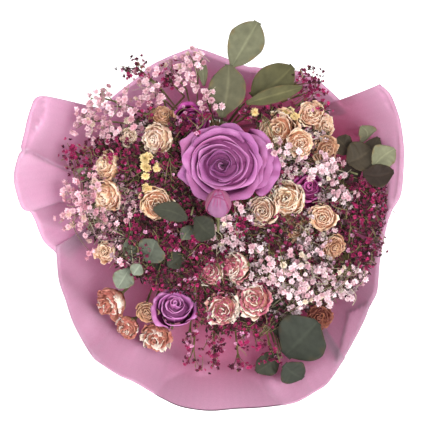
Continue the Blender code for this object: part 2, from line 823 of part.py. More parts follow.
def draw_stem(bm, stem, corners, sides, option, slim):
    """A stem whose end faces, of three or four corners, are drawn out into its shoots."""
    line = stem.line()
    radii = [STEM_RADIUS] * len(line)
    fan = sum((shoot.points[0] for shoot in stem.shoots), Vector()) / len(stem.shoots)
    rings = bar(line, radii, sides, fan)
    rows = [[bm.verts.new(point) for point in ring] for ring in rings]
    bm.faces.new(rows[0])
    for low, high in zip(rows, rows[1:]):
        close_wall(bm, low, high)
    axis = (fan - line[-1]).normalized()
    if corners == 3:
        pole = bm.verts.new(line[-1] + axis * 1.0)
        ends = [(rows[-1][i], rows[-1][(i + 1) % sides], pole) for i in range(sides)]
    else:
        inner = [bm.verts.new(line[-1].lerp(point, 0.35) + axis * 0.8) for point in rings[-1]]
        bm.faces.new(inner)
        ends = []
        for i in range(sides):
            j = (i + 1) % sides
            ends.append((rows[-1][i], rows[-1][j], inner[j], inner[i]))
    pairs = match_faces(rings[-1], line[-1], axis, [shoot.points[0] for shoot in stem.shoots], option)
    for i, end in enumerate(ends):
        if i in pairs:
            draw_shoot(bm, end, stem.shoots[pairs[i]], slim)
        else:
            bm.faces.new(end)


def close_wall(bm, low, high):
    """Faces between two rings of as many points."""
    for i in range(len(low)):
        j = (i + 1) % len(low)
        bm.faces.new((low[i], low[j], high[j], high[i]))


def draw_shoot(bm, corners, shoot, slim):
    """Draw one face out along a shoot's points, slimmer at its first, and finish its end."""
    row = list(corners)
    root = sum((v.co for v in row), Vector()) / len(row)
    first = row[0].co - root
    before = root
    for k, point in enumerate(shoot.points):
        last = k + 1 == len(shoot.points)
        axis = (shoot.faces_to - point if last else shoot.points[k + 1] - before).normalized()
        first = (first - axis * first.dot(axis)).normalized()
        second = axis.cross(first)
        radius = shoot.radii[k] * (slim if k == 0 else 1.0)
        ring = []
        for i in range(len(row)):
            angle = math.tau * i / len(row)
            ring.append(point + (first * math.cos(angle) + second * math.sin(angle)) * radius)
        high = [bm.verts.new(corner) for corner in ring]
        close_wall(bm, row, high)
        row = high
        before = point
    shoot.finish(bm, row)


def count_crossings(bm):
    """How many pairs of a mesh's triangles cross that share no corner."""
    copy = bm.copy()
    bmesh.ops.triangulate(copy, faces=copy.faces)
    copy.faces.ensure_lookup_table()
    tree = BVHTree.FromBMesh(copy)
    corners = [set(face.verts) for face in copy.faces]
    count = sum(1 for a, b in tree.overlap(tree) if a < b and not corners[a] & corners[b])
    copy.free()
    return count


def make_stem(stem, face, kind):
    """The stem with its shoots, grown from the end faces that leave the fewest crossings."""
    corners = 4 if kind == "rose_stem" else 3
    trials = []
    for slim in SLIM_STARTS:
        for spare in range(SPARE_SIDES):
            sides = max(4, len(stem.shoots) + spare)
            trials += [(sides, option, slim) for option in range(sides)]
    best = None
    for trial in trials:
        bm = bmesh.new()
        draw_stem(bm, stem, corners, *trial)
        crossings = count_crossings(bm)
        bm.free()
        if best is None or crossings < best[0]:
            best = (crossings, trial)
        if crossings == 0:
            break
    bm = bmesh.new()
    draw_stem(bm, stem, corners, *best[1])
    return make_object(stem.name, bm, face, kind)


def match_faces(ring, middle, axis, places, option=0):
    """Which end face of a bar grows towards which place, in the same order round the bar."""
    across = ring[0] - middle
    across = (across - axis * across.dot(axis)).normalized()
    side = axis.cross(across)
    sides = len(ring)

    def turn(point):
        return math.atan2((point - middle).dot(side), (point - middle).dot(across)) % math.tau

    order = sorted(range(len(places)), key=lambda k: turn(places[k]))
    faces = [turn(ring[i].lerp(ring[(i + 1) % sides], 0.5)) for i in range(sides)]
    options = []
    for start in range(sides):
        pairs = {(start + n * sides // len(order)) % sides: k for n, k in enumerate(order)}
        miss = sum(math.remainder(faces[i] - turn(places[k]), math.tau) ** 2 for i, k in pairs.items())
        options.append((miss, start, pairs))
    return sorted(options, key=lambda entry: entry[:2])[option][2]


def branch_line(stem, target, join, sideways, steps):
    """A branch that leaves its stem's line at once and eases onto its target's own line."""
    points = []
    for k in range(1, steps + 1):
        part = k / steps
        share = FORK + (join - FORK) * part
        way = stem.aim.lerp(target, part * (2.0 - part))
        points.append(ray(way + sideways * math.sin(math.pi * part), share))
    points.append(target)
    return points


def route(space, stem, target, radius, own, steps=3, tip=()):
    """The first branch line that clears everything, or else the one with most room."""
    best = None
    for size in DETOURS:
        turns = 1 if size == 0.0 else DETOUR_TURNS
        for join in JOINS:
            for turn in range(turns):
                angle = math.tau * turn / turns
                sideways = Vector((math.cos(angle), math.sin(angle), 0.0)) * size
                points = branch_line(stem, target, join, sideways, steps) + list(tip)
                gap = space.room(own | {stem.name}, [stem.leave(points[0])] + points, radius)
                gap = min(gap, space.room(own | stem.owners, stem.root(points[0]), STEM_RADIUS))
                if best is None or gap > best[0]:
                    best = (gap, points)
                if gap > CLEARANCE:
                    return best
    return best


def grow_rose_stem(space, stem, blooms):
    """Branches from one stem to the flared cup under each of its blooms."""
    for bloom in blooms:
        base = bloom.base()
        cup = min(CUP_LIMIT, bloom.radius * CUP_SHARE)
        best = None
        for length, bend in NECK_BENDS:
            back = -bloom.axis.lerp((base - APEX).normalized(), bend)
            neck = base - bloom.axis * NECK_BELOW + back * length
            tip = (base - bloom.axis * NECK_BELOW,)
            found = route(space, stem, neck, BRANCH_RADIUS, {bloom.name}, 3, tip)
            if best is None or found[0] > best[0]:
                best = found
            if found[0] > CLEARANCE:
                break
        points = best[1]
        shoot_name = stem.name + " shoots"
        stem.owners.add(shoot_name)
        space.take(shoot_name, [stem.leave(points[0])] + points, BRANCH_RADIUS)
        space.take(stem.name, stem.root(points[0]), STEM_RADIUS)
        radii = [BRANCH_RADIUS] * (len(points) - 1) + [BRANCH_RADIUS * 1.2]
        points = points + [base - bloom.axis * 1.6, base - bloom.axis * 0.3]
        radii = radii + [cup, cup * 1.05]
        space.take(shoot_name, points[-2:], cup)
        stem.shoots.append(Shoot(points, radii, close_end))


def close_end(bm, row):
    """A flat end."""
    bm.faces.new(row)


def leaf_point(leaf, along, across, shift=0.0):
    """A point of a leaf's middle surface: along from 0 to 1, across from -1 to 1."""
    (x0, y0), (x1, y1), width, out0, out1, balance, cup = leaf
    base = at(x0, y0)
    tip = at(x1, y1)
    base.z = dome(base.x, base.y) + out0 + shift
    tip.z = dome(tip.x, tip.y) + out1 + shift
    side = (tip - base).cross(Vector((0.0, 0.0, 1.0))).normalized()
    half = width / 2 * math.sin(math.pi * min(0.97, max(0.05, along)) ** balance) ** LEAF_FULLNESS
    bow = LEAF_BOW * (tip - base).length * math.sin(math.pi * along)
    lift = cup * across * across * math.sin(math.pi * along)
    wave = LEAF_WAVE * width * across * math.sin(2.6 * math.pi * along)
    return base.lerp(tip, along) + side * across * half + Vector((0.0, 0.0, bow + lift + wave))


def leaf_finish(leaf, shift):
    """A function that opens a stalk's end of three corners into a thin leaf blade."""
    def finish(bm, row):
        rows = [[leaf_point(leaf, t, s, shift) for s in (-1.0, 0.0, 1.0)] for t in LEAF_STATIONS]
        rings = []
        for i, points in enumerate(rows):
            ahead = rows[min(i + 1, len(rows) - 1)][1] - rows[max(i - 1, 0)][1]
            normal = ahead.cross(points[0] - points[2]).normalized()
            upper = [p + normal * PAPER / 2 for p in points]
            lower = [p - normal * PAPER / 2 for p in reversed(points)]
            rings.append([bm.verts.new(p) for p in upper + lower])
        open_blade(bm, row, rings[0])
        leaf_skin(bm, rings)
    return finish


def open_blade(bm, stalk, blade):
    """Faces from a stalk's three corners to a blade's six, matched where they lie nearest."""
    def stretch(start):
        return sum((stalk[i].co - blade[(start + 2 * i) % 6].co).length for i in range(3))

    start = min(range(6), key=stretch)
    for i in range(3):
        j = (i + 1) % 3
        one = blade[(start + 2 * i) % 6]
        two = blade[(start + 2 * i + 1) % 6]
        three = blade[(start + 2 * i + 2) % 6]
        bm.faces.new((stalk[i], two, one))
        bm.faces.new((stalk[i], stalk[j], two))
        bm.faces.new((stalk[j], three, two))


def leaf_skin(bm, rows):
    """Close a blade through rings of six points, split alike on its two faces."""
    for low, high in zip(rows, rows[1:]):
        for i in range(6):
            j = (i + 1) % 6
            if i < 3:
                bm.faces.new((low[i], low[j], high[j]))
                bm.faces.new((low[i], high[j], high[i]))
            else:
                bm.faces.new((low[i], low[j], high[i]))
                bm.faces.new((low[j], high[j], high[i]))
    bm.faces.new(rows[-1])


def leaf_chains(leaf, shift):
    """Lines along a leaf, close enough to stand for its whole blade."""
    count = max(3, round(leaf[2] / 2.6))
    chains = []
    for k in range(count):
        across = -1.0 + 2.0 * k / (count - 1)
        chains.append([leaf_point(leaf, t / 6, across * 0.96, shift) for t in range(7)])
    return chains


def place_leaf(space, stem, leaf):
    """How far a leaf is moved out or back to lie clear of what is there."""
    best = None
    for step in LEAF_SHIFTS:
        chains = leaf_chains(leaf, float(step))
        gap = min(space.room({stem.name}, chain, 1.0) for chain in chains)
        if best is None or gap > best[0]:
            best = (gap, float(step))
        if gap > CLEARANCE:
            break
    return best[1]


def grow_leafy_stem(space, stem, leaves):
    """Leaves on the stalks of one leafy stem."""
    for leaf in leaves:
        shift = place_leaf(space, stem, leaf)
        stem.owners.add(stem.name + " shoots")
        for chain in leaf_chains(leaf, shift):
            space.take(stem.name + " shoots", chain, 1.0)
        neck = leaf_point(leaf, 0.0, 0.0, shift)
        neck = neck + (neck - leaf_point(leaf, 0.2, 0.0, shift)).normalized() * STALK_LEAD
        neck.z -= STALK_DROP
        points = route(space, stem, neck, TWIG_RADIUS, set(), 2)[1]
        space.take(stem.name + " shoots", [stem.leave(points[0])] + points, TWIG_RADIUS)
        space.take(stem.name, stem.root(points[0]), STEM_RADIUS)
        stem.shoots.append(Shoot(points, [TWIG_RADIUS * 1.1] * len(points), leaf_finish(leaf, shift)))


def floret_points(cluster, kind, draw):
    """Places of a cluster's florets round its middle, on a sunflower spiral."""
    x, y, count, spread = cluster
    share = FLORET_KINDS[kind][2]
    modelled = min(FLORETS_PER_TWIG, max(1, round(count * share)))
    golden = math.pi * (3.0 - math.sqrt(5.0))
    start = draw.uniform(0.0, math.tau)
    points = []
    for k in range(modelled):
        reach = spread * MM_PER_PIXEL * math.sqrt((k + 0.5) / modelled) * 1.25
        angle = start + golden * k
        middle = at(x, y)
        points.append(middle + Vector((math.cos(angle) * reach, math.sin(angle) * reach, 0.0)))
    return points


def grow_spray(space, stem, clusters, kind, draw):
    """Clusters of florets on thin twigs from one stem."""
    radius, length, _, out, reach = FLORET_KINDS[kind]
    out += SET_BACK.get(stem.name, 0.0)
    for number, cluster in enumerate(clusters):
        own = "%s cluster %d" % (stem.name, number)
        stem.owners.add(own)
        places = []
        for point in floret_points(cluster, kind, draw):
            level = dome(point.x, point.y) + out + draw.uniform(-FLORET_UNEVEN, FLORET_UNEVEN)
            places.append(find_floret_place(space, stem, point, level, radius))
        places = [p for p in places if p is not None]
        if not places:
            continue
        twig = find_twig(space, stem, places, reach)[1]
        space.take(own, [stem.leave(twig[0])] + twig, TWIG_RADIUS)
        space.take(stem.name, stem.root(twig[0]), STEM_RADIUS)
        kept = []
        for place in places:
            if space.room({stem.name, own}, [twig[-1], place], FLORET_STALK_RADIUS) > 0.1:
                kept.append(place)
        for place in kept:
            space.take(own, [twig[-1], place], FLORET_STALK_RADIUS)
            space.take(own, [place], radius)
        radii = [TWIG_RADIUS * 1.1] * len(twig)
        fan = middle_of(kept or places)
        stem.shoots.append(Shoot(twig, radii, umbel_finish(kept, radius, length, twig[-1], fan), fan))


def find_floret_place(space, stem, point, level, radius):
    """A clear place for a floret near a point of the picture, or none."""
    for step in FLORET_SHIFTS:
        for aside in FLORET_ASIDE:
            way = Vector((point.x, point.y + 0.1, 0.0)).normalized() * aside
            place = Vector((point.x, point.y, level + step)) + way
            if space.room({stem.name}, [place], radius) > CLEARANCE:
                return place
    return None


def find_twig(space, stem, places, reach):
    """The twig that ends where a cluster's stalks meet, well behind the hindmost floret."""
    middle = middle_of(places)
    way = (APEX - middle).normalized()
    hindmost = max((place - middle).dot(way) for place in places)
    best = None
    for back in UMBEL_BACKS:
        target = middle + way * (hindmost + reach * back)
        found = route(space, stem, target, TWIG_RADIUS, set(), 2)
        if best is None or found[0] > best[0]:
            best = found
        if found[0] > CLEARANCE:
            break
    return best


def middle_of(points):
    """The mean of some points."""
    return sum(points, Vector()) / len(points)


def umbel_finish(places, radius, length, end, fan):
    """A function that splits a twig's end of three corners into a stalk for each floret."""
    def finish(bm, row):
        axis = (fan - end).normalized()
        pole = bm.verts.new(end + axis * 0.9)
        pairs = match_faces([v.co for v in row], end, axis, places)
        for i in range(3):
            corners = (row[i], row[(i + 1) % 3], pole)
            if i in pairs:
                draw_floret(bm, corners, places[pairs[i]], radius, length)
            else:
                bm.faces.new(corners)
    return finish


def draw_floret(bm, corners, place, radius, length):
    """A stalk drawn out of one face, with a floret at its end."""
    root = sum((v.co for v in corners), Vector()) / 3
    axis = (place - root).normalized()
    first = corners[0].co - root
    first = (first - axis * first.dot(axis)).normalized()
    second = axis.cross(first)
    rows = [list(corners)]
    for along, size in ((-0.45, 0.55), (0.1, radius)):
        middle = place + axis * length * along
        turns = [math.tau * k / 3 for k in range(3)]
        ring = [middle + (first * math.cos(t) + second * math.sin(t)) * size for t in turns]
        rows.append([bm.verts.new(point) for point in ring])
    tip = bm.verts.new(place + axis * length * 0.55)
    for low, high in zip(rows, rows[1:]):
        for i in range(3):
            j = (i + 1) % 3
            bm.faces.new((low[i], low[j], high[j], high[i]))
    for i in range(3):
        bm.faces.new((rows[-1][i], rows[-1][(i + 1) % 3], tip))


def along_tie(level):
    """The middle of the twine, which sits just behind the tie, moved along the bundle."""
    return TIE * (1.0 + (level - TWINE_BEHIND) / TIE.z)


def make_twine(face, bundle):
    """Turns of twine round the stems at the tie."""
    middle = bundle + CLEARANCE + TWINE_RADIUS
    rings = []
    bm = bmesh.new()
    for i in range(TWINE_SEGMENTS):
        angle = math.tau * i / TWINE_SEGMENTS
        out = Vector((math.cos(angle), math.sin(angle), 0.0))
        profile = []
        for turn in range(TWINE_TURNS):
            level = (turn - (TWINE_TURNS - 1) / 2) * TWINE_PITCH * TWINE_RADIUS
            for tilt in (-50.0, 50.0):
                tilt = math.radians(tilt)
                reach = middle + TWINE_RADIUS * math.cos(tilt)
                profile.append(along_tie(level + TWINE_RADIUS * math.sin(tilt)) + out * reach)
        half = TWINE_TURNS * TWINE_RADIUS * TWINE_PITCH / 2
        profile.append(along_tie(half) + out * (middle - TWINE_RADIUS))
        profile.append(along_tie(-half) + out * (middle - TWINE_RADIUS))
        rings.append([bm.verts.new(point) for point in profile])
    close_rings(bm, rings)
    return make_object("twine", bm, face, "twine", 0.95)


def close_rings(bm, rings):
    """Skin a ring-shaped body through profiles that go all the way round."""
    for i, ring in enumerate(rings):
        following = rings[(i + 1) % len(rings)]
        for k in range(len(ring)):
            j = (k + 1) % len(ring)
            bm.faces.new((ring[k], following[k], following[j], ring[j]))


def make_ribbon(face):
    """A flat band round the wrap at the tie, with a knot and two tails over the stems."""
    band = 2 * LAYER_STEP + PAPER / 2 + 2 * CLEARANCE + RIBBON_THICKNESS / 2
    half_share = RIBBON_WIDTH / 2 / TIE.length

    def draw_band(bm):
        rings = []
        for i in range(RIBBON_SEGMENTS):
            angle = math.tau * i / RIBBON_SEGMENTS
            profile = []
            for share, side in ((-1, 1), (1, 1), (1, -1), (-1, -1)):
                point = wrap_point(angle, share * half_share)
                normal = wrap_normal(angle, share * half_share)
                profile.append(point + normal * (band + side * RIBBON_THICKNESS / 2))
            rings.append([bm.verts.new(point) for point in profile])
        close_rings(bm, rings)

    knot = wrap_point(math.pi / 2, 0.0) + wrap_normal(math.pi / 2, 0.0) * (band + KNOT_HEIGHT)
    along = TIE.normalized()

    def draw_knot(bm):
        points = [knot + Vector((x, 0.0, 0.0)) for x in KNOT_PLACES]
        skin(bm, bar(points, KNOT_RADII, 8))

    def draw_tail(side):
        def draw(bm):
            top = []
            bottom = []
            for k in range(5):
                part = k / 4
                aside = side * (2.0 + RIBBON_TAIL_SPREAD * part)
                middle = knot + along * RIBBON_TAIL * part + Vector((aside, 0.0, 0.0))
                middle += UP * (RIBBON_TAIL_ARCH * math.sin(math.pi * part) - RIBBON_TAIL_DROP * part)
                across = Vector((1.0, 0.12 * side, 0.0)) * RIBBON_WIDTH * 0.36
                lift = UP * RIBBON_THICKNESS / 2
                top.append([middle - across + lift, middle + across + lift])
                bottom.append([middle - across - lift, middle + across - lift])
            shell(bm, top, bottom)
        return draw

    return make_fused("ribbon", [draw_band, draw_knot, draw_tail(-1.0), draw_tail(1.0)], face, "ribbon")


def settle(face, items):
    """Set the whole on the floor, with the middle of its length and width at the origin."""
    bpy.context.view_layer.update()
    corners = [item.matrix_world @ v.co for item in items for v in item.data.vertices]
    low = Vector([min(c[i] for c in corners) for i in range(3)])
    high = Vector([max(c[i] for c in corners) for i in range(3)])
    face.location -= Vector(((low.x + high.x) / 2, (low.y + high.y) / 2, low.z))
    bpy.context.view_layer.update()


def main():
    clear_scene()
    draw = random.Random(SEED)
    face = bpy.data.objects.new("face", None)
    bpy.context.scene.collection.objects.link(face)
    face.rotation_euler.x = math.pi / 2 - FACE_TILT
    face.location.z = FACE_HEIGHT * MM

    blooms = make_blooms()
    space = Space()
    for bloom in blooms.values():
        for place, radius in bloom.balls():
            space.take(bloom.name, [place], radius)

    rose_groups = {"big_rose_stem": ["big_rose"], "mauve_rose_stem": list(MAUVE_ROSES)}
    for number, members in enumerate(PEACH_STEMS, 1):
        rose_groups["peach_rose_stem_%d" % number] = ["peach_rose_%02d" % m for m in members]
    wishes = {}
    for name, members in rose_groups.items():
        wishes[name] = sum((blooms[m].base() for m in members), Vector()) / len(members)
    for name, leaves in LEAVES.items():
        wishes[name] = sum((leaf_point(leaf, 0.0, 0.0) for leaf in leaves), Vector()) / len(leaves)
    for table in SPRAYS.values():
        for name, clusters in table.items():
            wishes[name] = sum((at(x, y) for x, y, _, _ in clusters), Vector()) / len(clusters)
    aims = pack_aims(list(wishes.values()))
    stems = {name: Stem(name, aim, draw) for name, aim in zip(wishes, aims)}
    for stem in stems.values():
        space.take(stem.name, stem.line(), STEM_RADIUS)

    for name, members in rose_groups.items():
        grow_rose_stem(space, stems[name], [blooms[m] for m in members])
    for name, leaves in LEAVES.items():
        grow_leafy_stem(space, stems[name], leaves)
    for kind, table in SPRAYS.items():
        for name, clusters in table.items():
            grow_spray(space, stems[name], clusters, kind, draw)

    items = [make_bloom(bloom, face, draw) for bloom in blooms.values()]
    for name, stem in stems.items():
        kind = "rose_stem"
        if name in LEAVES:
            kind = "leaf"
        for label, table in SPRAYS.items():
            if name in table:
                kind = label
        items.append(make_stem(stem, face, kind))
    items += [make_wrap(name, face) for name in SHEETS]
    bundle = max((ray(aim, NARROWING) - TIE).length for aim in aims) + STEM_RADIUS
    items.append(make_twine(face, bundle))
    items.append(make_ribbon(face))
    settle(face, items)


main()
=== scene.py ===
import itertools
import math
import random
from dataclasses import dataclass

import bmesh
import bpy
import numpy as np
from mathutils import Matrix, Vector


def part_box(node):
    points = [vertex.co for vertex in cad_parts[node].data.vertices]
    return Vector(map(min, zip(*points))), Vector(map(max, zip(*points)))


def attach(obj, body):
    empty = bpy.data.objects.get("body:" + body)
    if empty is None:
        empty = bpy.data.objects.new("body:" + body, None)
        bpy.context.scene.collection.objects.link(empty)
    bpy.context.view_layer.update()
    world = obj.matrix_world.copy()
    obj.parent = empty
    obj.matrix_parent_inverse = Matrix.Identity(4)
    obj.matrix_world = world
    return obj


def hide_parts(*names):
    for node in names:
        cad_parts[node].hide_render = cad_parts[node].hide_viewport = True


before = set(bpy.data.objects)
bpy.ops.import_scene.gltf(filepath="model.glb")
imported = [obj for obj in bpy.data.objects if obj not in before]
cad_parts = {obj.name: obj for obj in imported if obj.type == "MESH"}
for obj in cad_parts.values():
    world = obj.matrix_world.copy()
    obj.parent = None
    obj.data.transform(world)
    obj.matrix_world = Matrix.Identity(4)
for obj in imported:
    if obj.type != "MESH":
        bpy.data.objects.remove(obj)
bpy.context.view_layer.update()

MM = 0.001
MM_PER_PIXEL = 0.75
PICTURE_MIDDLE = 215.0
PICTURE_PIXELS = 430
TAU = math.tau
TINY = 1e-9
FAR = 1e3
WHITE = (1.0, 1.0, 1.0, 1.0)

# The name of the colour at each point of a mesh
PAINT = "paint"
# A way that no tube runs in
SIDE_START = (0.3, 0.5, 0.8)

# The face of flowers looks up at a slant, as in the part's source
FACE_TILT = math.radians(38.0)
FACE_HEIGHT = 115.0
UP = np.array((0.0, math.cos(FACE_TILT), math.sin(FACE_TILT)))
# Where the stems are tied, and the point below it that they spread from
TIE = np.array((0.0, 60.3, -180.2))
NARROWING = 0.13
APEX = TIE / (1.0 - NARROWING)
TWINE_BEHIND = 4.0
# How far the middle of the face stands out, and how slowly it falls off
DOME_RISE = 30.0
DOME_SPREAD = 430.0

# The turn from the face frame to the part's frame, and the shift that sets the twine where the CAD has it
SLANT = np.array((
    (1.0, 0.0, 0.0),
    (0.0, math.sin(FACE_TILT), -math.cos(FACE_TILT)),
    (0.0, math.cos(FACE_TILT), math.sin(FACE_TILT)),
))
TWINE_BOX = np.array(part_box("twine"))
SHIFT = TWINE_BOX.mean(axis=0) - SLANT @ (TIE * (1.0 - TWINE_BEHIND / TIE[2])) * MM

# Paper wrap, as in the part's source
LAYER_STEP = 1.5
WRAP_STRAIGHT = 0.86
WRAP_RADIUS = 142.0
WRAP_LEAN = 35.0
WRAP_RIPPLE = 7.0
WRAP_RIPPLES = 5
WRAP_SAG = 16.0
SAG_START = 0.64
SAG_LENGTH = 0.2
FLAT_HALF_ANGLE = math.radians(34.0)
THROAT = 13.0
WRAP_FLARE = 24.0
WRAP_START = -0.1

# Thickness of the paper in millimetres, length of a sheet in metres, its grid and its pleats
PAPER = 0.55
PAPER_OVER_FLOOR = 0.3 + 0.45 * PAPER
WRAP_ROWS = 56
ROW_SPACING = 0.62
GATHER = 0.75
# Waves across the paper: height, how many, how much they sway and how often, and where they grow
PAPER_WAVES = ((0.08, 61.0, 1.3, 7.0, 0.0, 0.25), (0.30, 11.0, 2.0, 5.0, 0.15, 0.6))

# The rolled rim: radius in millimetres on each sheet, and on the flat side, and how far it turns
ROLLS = {"wrap_bottom": 2.4, "wrap_right": 1.7, "wrap_left_top": 1.9}
FLAT_ROLL = 0.9
FLAT_ROLL_REACH = 1.1
ROLL_ROWS = 8
ROLL_TURN = math.radians(150.0)

# How the sheets' edges are found on the wrap from the picture
WIDEST_SHARE = 1.4
SEARCH_ROUNDS = 30
EDGE_STEPS = 9
CORNER_PULL = 0.42
LEAST_TURN = 1e-4
RIM_ROUNDS = 3
RIM_STEP = 0.02
SLOPE_STEP = 0.01

# The paper's colour near its rim, and the darker colour it blends to deep inside the wrap as painted shade
PAPER_COLOUR = (0.50, 0.300, 0.405)
PAPER_SHADED = (0.46, 0.100, 0.205)
# Painted light and shade on the paper: how light it is drawn at angles round the wrap, in degrees
PAPER_PAINTED_LIGHT = (
    (0, 0.84), (31, 0.86), (60, 1.14), (85, 1.26), (120, 1.26), (145, 1.10), (165, 1.00), (185, 1.10),
    (193, 1.05), (205, 0.84), (229, 0.70), (248, 0.82), (272, 0.96), (296, 0.75), (313, 0.68), (327, 0.60),
    (342, 0.76), (360, 0.84),
)
# The side where the paper is deepest in shade, and the shares of its length between which that ends
DEEP_SIDE = math.radians(-20.0)
DEEP_EDGE = (0.68, 0.99)

# Shade in the line of a fold and in a band beside it, and light on its other side, with their widths
FOLD_LINE = 0.12
FOLD_LINE_WIDTH = 3.0
FOLD_BAND = 0.14
FOLD_BAND_WIDTH = 15.0
FOLD_LIGHT = 0.10
FOLD_LIGHT_WIDTH = 7.0

# Lights: name, place in the face frame, size in metres and power in watts, and the point that they face
LIGHTS = (
    ("key", (600.0, -200.0, 2300.0), 0.9, 50.0),
    ("fill", (-1300.0, 600.0, 1800.0), 1.4, 12.0),
    ("top", (200.0, 2000.0, 900.0), 1.4, 7.0),
)
LIGHT_AIM = (0.0, 0.0, -40.0)
SURROUND_LIGHT = 0.60
FLOOR_HALF = 6.0
FLOOR_COLOUR = (0.92, 0.92, 0.92, 1.0)
FLOOR_ROUGHNESS = 0.9
FLOOR_GLOW = 0.70
CAMERA_DISTANCE = 3.0
CLIP_END = 20.0
SENSOR_MM = 36.0

# Blooms as in the part's source: across, up, radius, lean across, lean up, and their tone
PEACH_ROSES = (
    (-80.5, 36.8, 10.5, -1.3, 0.2, "peach"),
    (-81.0, 14.2, 11.0, -0.9, -0.6, "peach"),
    (-81.8, -27.5, 7.5, -0.3, 0.0, "peach"),
    (-39.4, 72.9, 9.0, 0.0, 0.8, "brown"),
    (-42.8, 56.6, 11.5, -0.7, -0.2, "beige"),
    (-43.5, 8.3, 11.5, 0.0, -0.1, "peach"),
    (49.5, 62.3, 12.0, -0.2, 0.1, "peach"),
    (63.8, 53.6, 10.5, 0.1, -0.1, "peach"),
    (72.0, 75.4, 9.0, 0.0, 0.4, "peach"),
    (81.0, 66.4, 9.0, 0.7, 0.3, "peach"),
    (81.8, 48.8, 9.5, 0.6, -0.2, "brown"),
    (54.4, 11.3, 12.5, -0.25, 0.05, "cream"),
    (35.3, 3.0, 10.0, -0.1, 0.0, "beige"),
    (60.4, -10.5, 10.5, 0.0, -0.1, "peach"),
    (80.6, -2.3, 9.5, -0.1, 0.0, "peach"),
    (88.5, -23.3, 8.5, 0.5, -0.4, "brown"),
    (15.8, -38.6, 10.5, -1.1, -0.2, "magenta"),
    (-2.3, -43.9, 8.5, -0.7, 0.6, "magenta"),
    (29.3, -63.0, 12.0, -0.2, 0.1, "magenta"),
    (5.3, -69.8, 11.0, 0.0, -0.2, "magenta"),
    (-78.0, -66.0, 11.5, -1.0, -0.9, "tan"),
    (-66.0, -84.0, 8.5, -0.8, -0.8, "tan"),
    (-44.3, -91.5, 11.0, -0.3, -0.7, "tan"),
    (-50.6, -72.8, 7.5, -0.2, -0.2, "brown"),
    (78.0, -75.8, 9.5, 0.2, -0.3, "dark"),
    (-64.0, 58.0, 6.5, -0.3, 0.2, "beige"),
)
MAUVE_ROSES = {
    "mauve_rose_low": (-30.0, -69.8, 13.0, 0.1, 0.7, "mauve"),
    "mauve_rose_right": (72.0, 19.5, 10.0, -0.3, 0.4, "fuchsia"),
    "mauve_rose_top": (-18.8, 69.8, 11.0, 0.3, -0.1, "wine"),
    "mauve_bud": (2.3, 9.8, 9.0, 0.0, 1.2, "bud"),
}
BIG_ROSE = (9.8, 40.5, 36.0, -0.15, -0.1, "big")
BUD_HEIGHT = 24.0
BIG_ROSE_HEIGHT = 1.05
SPRAY_ROSE_HEIGHT = 1.7
BASE_SHARE = 0.55
NECK = 0.1
BEHIND = {"mauve_rose_right": -8.0, "mauve_rose_top": -6.0, "mauve_bud": 9.0, "big_rose": 4.0}
BLOOM_BALLS = ((0.3, 0.7), (0.62, 1.03), (0.8, 0.93))
CLEARANCE = 0.35
PARTING_ROUNDS = 120
PARTING_STEP = 0.6

# How much wider the petals open than the solids, and how many millimetres further forward they stand
MAUVE_GROWTH = {"mauve_rose_low": 1.18, "mauve_rose_right": 1.35, "mauve_rose_top": 1.2}
ROSE_GROWTH = 1.10
SINGLE_GROWTH = {"peach_rose_07": 1.26, "peach_rose_08": 0.90, "peach_rose_12": 1.08, "peach_rose_13": 1.12}
BIG_GROWTH = 0.90
FORWARD = {"peach_rose_07": 6.0, "peach_rose_12": 2.0}

# Petals in each whorl of a spray rose, from outside in
SPRAY_WHORLS = (6, 6, 5, 5, 4, 4, 3)
SPRAY_SEED = 31
# Whorls of a small mauve rose: rim, petals, level, curl
MAUVE_WHORLS = ((1.0, 5, 0.62, 0.20), (0.74, 4, 0.82, 0.15), (0.44, 3, 0.91, 0.09), (0.25, 3, 0.95, 0.03))
# Outer petals of the preserved rose: angle and width in degrees, rim, level, curl, point, drop
BIG_OUTER = (
    (150.0, 70.0, 0.92, 0.60, 0.12, 0.12, 0.30),
    (192.0, 60.0, 0.90, 0.56, 0.12, 0.12, 0.30),
    (24.0, 62.0, 0.98, 0.60, 0.16, 0.04, 0.20),
    (-17.0, 56.0, 1.02, 0.48, 0.20, 0.04, 0.12),
    (252.0, 84.0, 0.78, 0.66, 0.12, 0.03, 0.22),
    (332.0, 70.0, 0.80, 0.66, 0.12, 0.04, 0.22),
    (122.0, 74.0, 0.82, 0.68, 0.12, 0.06, 0.26),
    (68.0, 76.0, 0.80, 0.68, 0.12, 0.05, 0.24),
    (222.0, 106.0, 0.79, 0.74, 0.13, 0.06, 0.22),
    (302.0, 110.0, 0.76, 0.75, 0.13, 0.06, 0.22),
    (165.0, 92.0, 0.76, 0.76, 0.12, 0.06, 0.22),
    (98.0, 100.0, 0.74, 0.86, 0.13, 0.03, 0.14),
    (46.0, 90.0, 0.76, 0.80, 0.11, 0.05, 0.22),
    (0.0, 96.0, 0.72, 0.80, 0.12, 0.05, 0.22),
)
# Petals between the outer ones on the right, where the photo shows no gap
BIG_SIDE = (
    (-8.0, 72.0, 0.90, 0.62, 0.15, 0.04, 0.16),
    (22.0, 66.0, 0.86, 0.68, 0.14, 0.04, 0.18),
)
